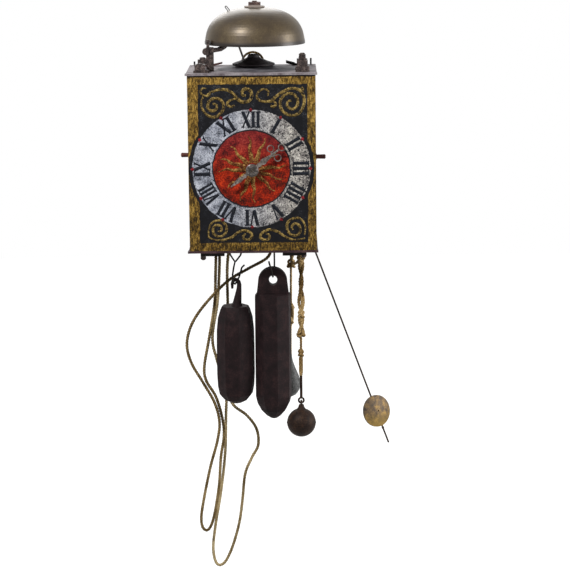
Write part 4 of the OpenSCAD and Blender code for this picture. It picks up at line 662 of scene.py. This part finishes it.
def brush_tree():
    tree, given = new_tree("brush_stroke", Share=0.05, Rough=0.28, Depth=0.0, Material="")
    line = add(tree, "GeometryNodeMeshToCurve", {"Mesh": given["Geometry"]})
    soft = add(tree, "GeometryNodeCurveSplineType", {"Curve": line.outputs[0]}, spline_type="CATMULL_ROM")
    fine = add(tree, "GeometryNodeResampleCurve", {"Curve": soft.outputs[0], "Length": 0.0008}, mode="LENGTH")
    width = add(tree, "GeometryNodeInputNamedAttribute", {"Name": "width"}, data_type="FLOAT")
    edge = add(tree, "ShaderNodeTexNoise", {"Scale": per_mm(2.2), "Detail": 1})
    swing = add(tree, "ShaderNodeMath", {0: edge, 1: 0.5}, operation="SUBTRACT")
    rough = add(tree, "ShaderNodeMath", {0: swing, 1: given["Rough"]}, operation="MULTIPLY")
    uneven = add(tree, "ShaderNodeMath", {0: rough, 1: 1.0}, operation="ADD")
    size = add(tree, "ShaderNodeMath", {0: uneven, 1: width}, operation="MULTIPLY")
    return brushed(tree, fine, given["Share"], size, given)


brush_stroke = brush_tree()
gold_paint = paint_of("scroll_gold_paint", "40331a", "756031", "a88f52", "14120f")
ink_paint = paint_of("blue_black_numeral_paint", "08090d", "0f1219", "1d222c", "30333b")
ochre_paint = paint_of("ray_ochre_paint", "4c270f", "7c5326", "a98449", "521a0d")
dark_red_paint = paint_of("dark_red_paint", "54141a", "811f26", "a33a3c", "3a1014")

# %% [markdown]
# ## Scrolls in the corners
# Each corner has a spiral that unrolls into a stem with a curled end, as on much painted ironwork, and the
# upper ones have small leaves. A spiral could come from a formula, but these were drawn by hand and no two
# are alike, so each is a short list of points.
# %% Scroll strokes
scrolls = [  # width in mm, then points as x and z in the case's millimetres
    (2.6, [(-53.9, -17.9), (-58.4, -17.9), (-61.1, -21.6), (-58.4, -25.7), (-53.1, -27.0), (-49.4, -25.1)]),
    (4.2, [(-53.9, -26.3), (-47.9, -22.4), (-38.9, -19.4), (-28.4, -20.1), (-21.0, -25.4), (-16.5, -30.7),
           (-10.5, -34.5), (-3.0, -33.0), (0.3, -27.0), (-1.5, -20.9), (-6.8, -18.6), (-10.8, -21.6),
           (-10.5, -26.2), (-6.8, -27.0)]),
    (3.2, [(-18.0, -30.3), (-23.2, -31.5), (-27.7, -33.8), (-28.7, -37.9), (-24.3, -40.0), (-20.4, -37.9)]),
    (3.7, [(-56.9, -26.3), (-60.2, -34.5), (-58.4, -43.6), (-50.9, -51.2), (-41.9, -51.5), (-34.7, -44.4),
           (-33.7, -36.4), (-38.9, -30.6), (-46.4, -30.3), (-51.6, -34.5), (-52.1, -41.4), (-47.1, -44.9),
           (-42.2, -42.1), (-42.2, -37.3), (-46.4, -36.4)]),
    (3.7, [(19.7, -27.6), (20.3, -21.8), (15.2, -19.1), (8.1, -22.7), (6.9, -29.4), (12.8, -33.9),
           (23.3, -33.3), (30.2, -27.6), (38.9, -21.8), (47.9, -18.6), (56.8, -20.3), (62.0, -26.3),
           (63.2, -36.1), (58.6, -46.7), (49.3, -51.2), (39.2, -47.6), (34.4, -39.1), (36.2, -30.0),
           (43.7, -24.8), (51.4, -26.3), (55.6, -33.6), (53.8, -40.9), (47.9, -43.6), (42.8, -39.4),
           (44.0, -34.2), (48.2, -33.3)]),
    (3.2, [(20.9, -34.8), (26.9, -34.5), (29.3, -37.9), (26.0, -40.6), (22.7, -38.8)]),
    (2.4, [(57.6, -20.3), (61.1, -17.9), (62.6, -21.6)]),
    (3.4, [(-55.4, -197.2), (-47.9, -201.2), (-37.4, -202.0), (-26.9, -199.1), (-18.7, -193.1),
           (-10.5, -190.5), (-3.0, -193.1), (-1.5, -197.6), (-5.3, -201.4), (-10.5, -201.1),
           (-12.0, -197.2), (-8.7, -194.6)]),
    (3.2, [(-54.2, -198.7), (-53.0, -186.2), (-47.9, -179.4), (-38.9, -178.3), (-32.6, -184.7),
           (-33.2, -193.1), (-40.4, -197.8), (-47.1, -194.6), (-48.5, -187.8), (-44.2, -183.5),
           (-38.6, -185.3), (-38.6, -190.5), (-42.5, -191.7)]),
    (3.4, [(62.8, -200.6), (49.3, -202.3), (38.9, -198.4), (29.9, -192.3), (19.4, -189.6), (10.8, -193.8),
           (9.0, -199.1), (13.4, -202.2), (19.4, -200.6), (19.4, -196.1), (15.7, -194.6)]),
    (3.2, [(62.2, -196.9), (63.4, -186.2), (58.6, -177.4), (50.8, -175.6), (42.8, -180.2), (41.1, -187.8),
           (44.9, -195.3), (52.3, -197.2), (57.1, -192.3), (56.2, -185.3), (50.8, -182.3), (47.0, -186.2),
           (48.5, -190.2)])]


def on_dial(x, z):
    """A point of the dial's face, flat, for the brush to stand up."""
    where = place(x, 0, z)
    return Vector((where.x, where.z, 0))


def tapered(count, width):
    """A stroke starts and ends thinner than it is in its middle."""
    fullness = [min(1, 3.5 * i / count, 3.5 * (count - 1 - i) / count + 0.35) for i in range(count)]
    return [width / 1000 * (0.55 + 0.45 * full) for full in fullness]


scroll_lines = drawn([[on_dial(*p) for p in points] for width, points in scrolls],
                     [tapered(len(points), 0.96 * width) for width, points in scrolls])
scroll_paint = grown("dial_scrolls", scroll_lines, brush_stroke, Depth=dial_face, Material=gold_paint)
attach(scroll_paint, "case")

# %% [markdown]
# ## Roman numerals
# The hours stand round the ring with their tops outward, the four as IIII, as clock dials have it. Each
# letter is a few strokes: broad ones that go down, thin ones that go up, and short thin serifs across the
# ends. A font would be quicker, but its edges are too even for paint, so the strokes go through the brush
# as well.
# %% Numerals
half = 9.4  # half the height of a numeral, mm
numeral_ring = 59.6  # from the middle of the dial to the middle of a numeral, mm
widest_numeral, widest_letter = 23.0, 1.12  # the room for a word in mm, and the most a letter is stretched
letters = {  # advance, then strokes: width and two or more points, x to the right and y outward
    "I": (5.6, [(3.5, (0, -half), (0, half)), (1.5, (-2.8, half - 0.5), (2.7, half)),
                (1.5, (-2.7, -half), (2.8, 0.5 - half))]),
    "V": (10.2, [(3.6, (-3.2, half), (0.5, -half)), (1.9, (4.0, half), (0.9, -half + 0.6)),
                 (1.4, (-5.4, half - 0.3), (-1.2, half)), (1.4, (2.4, half - 0.3), (5.4, half))]),
    "X": (11.0, [(3.6, (-3.6, half), (3.7, -half)), (1.9, (3.7, half - 0.3), (0.3, 0.4), (-3.7, 0.3 - half)),
                 (1.4, (-5.5, half - 0.3), (-1.7, half)), (1.4, (2.1, half - 0.3), (5.5, half)),
                 (1.4, (-5.5, -half), (-2.0, 0.3 - half)), (1.4, (1.9, -half), (5.6, 0.3 - half))])}


def round_dial(u, v, angle):
    """A point u along and v outward from the middle of the dial, on the radius at an angle from twelve."""
    return on_dial(dial_middle[0] + u * math.cos(angle) - v * math.sin(angle),
                   dial_middle[1] + u * math.sin(angle) + v * math.cos(angle))


runs, widths = [], []
for hour, word in enumerate(("I", "II", "III", "IIII", "V", "VI", "VII", "VIII", "IX", "X", "XI", "XII"), 1):
    angle = math.radians(-30 * hour)
    total = sum(letters[c][0] for c in word)
    squeeze = min(widest_letter, widest_numeral / total)
    cursor = -total / 2
    for c in word:
        advance, strokes = letters[c]
        middle = cursor + advance / 2
        for width, *points in strokes:
            runs.append([round_dial((middle + u) * squeeze, numeral_ring + v, angle) for u, v in points])
            widths.append([width / 1000 * (squeeze if width > 2 else 1)] * len(points))
        cursor += advance
numerals = grown("dial_numerals", drawn(runs, widths), brush_stroke, Rough=0.35, Depth=dial_face,
                 Material=ink_paint)
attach(numerals, "case")


# %% [markdown]
# ## The sun
# Twelve wavy rays come out from behind the hand's boss. Their directions were measured, and all else repeats
# with small changes, which is what Geometry Nodes are for: each short straight line gets its own wave and
# width.
# %% Rays
ray_points = 34


def sun_tree():
    tree, given = new_tree("sun_rays", Width=0.0058, Wave=0.0017, Waves=10.5, Depth=0.0, Seed=21, Material="")
    line = add(tree, "GeometryNodeMeshToCurve", {"Mesh": given["Geometry"]})
    fine = add(tree, "GeometryNodeResampleCurve", {"Curve": line.outputs[0], "Count": ray_points})
    along = add(tree, "GeometryNodeSplineParameter").outputs["Factor"]
    index = add(tree, "GeometryNodeInputIndex")
    share = add(tree, "ShaderNodeMath", {0: index, 1: ray_points}, operation="DIVIDE")
    number = add(tree, "ShaderNodeMath", {0: share}, operation="FLOOR")
    phase = add(tree, "FunctionNodeRandomValue", {2: -0.9, 3: 0.9, "ID": number, "Seed": given["Seed"]},
                data_type="FLOAT")
    stout = add(tree, "FunctionNodeRandomValue", {2: 0.85, 3: 1.15, "ID": number, "Seed": 5},
                data_type="FLOAT")
    # the wave grows along the ray
    turned = add(tree, "ShaderNodeMath", {0: along, 1: given["Waves"], 2: phase.outputs[1]},
                 operation="MULTIPLY_ADD")
    sine = add(tree, "ShaderNodeMath", {0: turned}, operation="SINE")
    growing = add(tree, "ShaderNodeMath", {0: along, 1: given["Wave"]}, operation="MULTIPLY")
    aside = add(tree, "ShaderNodeMath", {0: sine, 1: growing}, operation="MULTIPLY")
    onward = add(tree, "GeometryNodeInputTangent")
    side = add(tree, "ShaderNodeVectorMath", {0: onward, 1: (0, 0, 1)}, operation="CROSS_PRODUCT")
    offset = add(tree, "ShaderNodeVectorMath", {0: side, "Scale": aside}, operation="SCALE")
    wavy = add(tree, "GeometryNodeSetPosition", {"Geometry": fine, "Offset": offset})
    # the width shrinks to a point
    left = add(tree, "ShaderNodeMath", {0: 1.04, 1: along}, operation="SUBTRACT")
    taper = add(tree, "ShaderNodeMath", {0: left, 1: 0.7}, operation="POWER")
    even = add(tree, "ShaderNodeMath", {0: taper, 1: given["Width"]}, operation="MULTIPLY")
    width = add(tree, "ShaderNodeMath", {0: even, 1: stout.outputs[1]}, operation="MULTIPLY")
    return brushed(tree, wavy, 0.03, width, given)


headings = (5, 35, 67, 95, 132, 161, 181, 215, 248, 273, 314, 340)  # degrees, turning left from the right
ray_lines = []
for i, heading in enumerate(headings):
    across, up = math.cos(math.radians(heading)), math.sin(math.radians(heading))
    ends = (8, 41 - 3 * (i % 3 == 1))  # every third ray is a little shorter, mm
    ray_lines.append([on_dial(reach * across, -116 + reach * up) for reach in ends])
rays = grown("dial_sun_rays", drawn(ray_lines), sun_tree(), Depth=dial_face, Material=ochre_paint)
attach(rays, "case")


# %% [markdown]
# ## Hour marks
# A small dark red diamond marks each hour on the rim of the silver ring. One four-sided prism is set on
# twelve points of a circle, each turned to face the middle.
# %% Diamonds
def mark_tree():
    tree, given = new_tree("hour_marks", Marks=12, Radius=0.0712, Size=0.0025, Centre=(0.0, 0.0, 0.0),
                           Material="")
    ring = add(tree, "GeometryNodeMeshCircle", {"Vertices": given["Marks"], "Radius": given["Radius"]})
    mark = add(tree, "GeometryNodeMeshCylinder", {"Vertices": 4, "Radius": given["Size"], "Depth": 0.00024})
    index = add(tree, "GeometryNodeInputIndex")
    share = add(tree, "ShaderNodeMath", {0: index, 1: given["Marks"]}, operation="DIVIDE")
    turned = add(tree, "ShaderNodeMath", {0: share, 1: math.tau}, operation="MULTIPLY")
    spin = add(tree, "ShaderNodeCombineXYZ", {2: turned})
    set_on = add(tree, "GeometryNodeInstanceOnPoints",
                 {"Points": ring.outputs[0], "Instance": mark.outputs[0], "Rotation": spin.outputs[0]})
    moved = add(tree, "GeometryNodeTransform",
                {"Geometry": set_on.outputs[0], "Translation": given["Centre"]})
    upright = add(tree, "GeometryNodeTransform", {"Geometry": moved.outputs[0], "Rotation": stand_up,
                                                  "Translation": (0, dial_face, 0)})
    return close_tree(tree, upright.outputs[0], given["Material"], smooth=False)


marks = grown("dial_hour_marks", drawn([[on_dial(0, -116), on_dial(1, -116)]]), mark_tree(),
              Centre=on_dial(*dial_middle), Material=dark_red_paint)
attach(marks, "case")


# %% [markdown]
# ## Threads on the posts
# The ends of the corner posts are screw-cut, and their square nuts hold the top plate. A thread is a ridge
# that winds up the rod, so a tree sweeps a small five-sided section along a helix. It sits half in the rod,
# as a real ridge does.
# %% Threads
def thread_tree():
    tree, given = new_tree("screw_thread", Radius=0.0039, Pitch=0.0013, Height=0.008, Foot=(0.0, 0.0, 0.0),
                           Material="")
    turns = add(tree, "ShaderNodeMath", {0: given["Height"], 1: given["Pitch"]}, operation="DIVIDE")
    helix = add(tree, "GeometryNodeCurveSpiral",
                {"Resolution": 24, "Rotations": turns, "Start Radius": given["Radius"],
                 "End Radius": given["Radius"], "Height": given["Height"]})
    ridge = add(tree, "ShaderNodeMath", {0: given["Pitch"], 1: 0.42}, operation="MULTIPLY")
    section = add(tree, "GeometryNodeCurvePrimitiveCircle", {"Resolution": 5, "Radius": ridge})
    thread = add(tree, "GeometryNodeCurveToMesh",
                 {"Curve": helix, "Profile Curve": section, "Fill Caps": True})
    moved = add(tree, "GeometryNodeTransform", {"Geometry": thread, "Translation": given["Foot"]})
    return close_tree(tree, moved, given["Material"])


screw_thread = thread_tree()
post_ends = ((61.5, 16, 13.6, 21.2), (-61.5, 16, 9.3, 10.4), (-61.5, 104, 8, 10.2), (61.5, 104, 8, 10.2))
threads = []
for x, y, low, high in post_ends:
    stub = drawn([[Vector(), Vector((0, 0, 0.001))]])
    threads.append(grown("post_thread", stub, screw_thread, Foot=place(x, y, low), Height=(high - low) / 1000,
                         Material=post_iron))
with bpy.context.temp_override(active_object=threads[0], selected_editable_objects=threads):
    bpy.ops.object.join()
threads[0].name = "post_threads"
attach(threads[0], "case")


# %% [markdown]
# ## The studio
# The picture shows the clock before plain white, with the main lamp high and a little to the left: it gives
# the soft highlight on the bell and the shadow under the hand. Others light the right side and the back.
# The white comes from the world and the floor, for camera rays and for rays that metal reflects, so that no
# light has to be added to the object to make the ground white.
# %% Floor, lamps and world
def seen_directly(tree):
    """1 for rays from the camera, a reflection or glass, and 0 for the light that falls on things."""
    kinds = add(tree, "ShaderNodeLightPath").outputs
    seen = add(tree, "ShaderNodeMath", {0: kinds["Is Camera Ray"], 1: kinds["Is Glossy Ray"]},
               operation="MAXIMUM")
    return add(tree, "ShaderNodeMath", {0: seen, 1: kinds["Is Transmission Ray"]}, operation="MAXIMUM")


reach, floor_height = 3, -0.78
floor_mesh = bpy.data.meshes.new("floor")
corners = [(x * reach, y * reach, floor_height) for x, y in ((-1, -1), (1, -1), (1, 1), (-1, 1))]
floor_mesh.from_pydata(corners, [], [(0, 1, 2, 3)])
floor = bpy.data.objects.new("floor", floor_mesh)
bpy.context.scene.collection.objects.link(floor)
pale, tree, shader, _ = blank("pale_floor_paint")
glow = add(tree, "ShaderNodeMath", {0: seen_directly(tree), 1: 0.93}, operation="MULTIPLY")
plug(tree, shader, {"Base Color": tint("8c8c8a"), "Roughness": 0.9, "Emission Color": (1, 1, 1, 1),
                    "Emission Strength": glow})
floor_mesh.materials.append(pale)

world = bpy.data.worlds.new("studio")
bpy.context.scene.world = world
world.use_nodes = True
tree = world.node_tree
strength = add(tree, "ShaderNodeMapRange", {"Value": seen_directly(tree), "To Min": 0.12, "To Max": 1.0})
plug(tree, tree.nodes["Background"], {"Color": (1, 1, 1, 1), "Strength": strength})

aim = Vector((0, 0, -0.15))
for name, where, size, power in (  # places and sizes in metres, powers in watts
        ("key_lamp", (-1.1, -1.45, 1.45), 0.3, 64), ("fill_lamp", (1.5, -1.9, 0.5), 1.0, 4),
        ("side_lamp", (1.95, -0.35, 0.1), 0.8, 38), ("rear_lamp", (-0.3, 1.8, 0.9), 1.2, 18)):
    data = bpy.data.lights.new(name, "AREA")
    data.shape, data.size, data.energy = "SQUARE", size, power
    lamp = bpy.data.objects.new(name, data)
    bpy.context.scene.collection.objects.link(lamp)
    lamp.location = where
    lamp.rotation_euler = (aim - Vector(where)).to_track_quat("-Z", "Y").to_euler()
bpy.context.scene.view_settings.view_transform = "Standard"
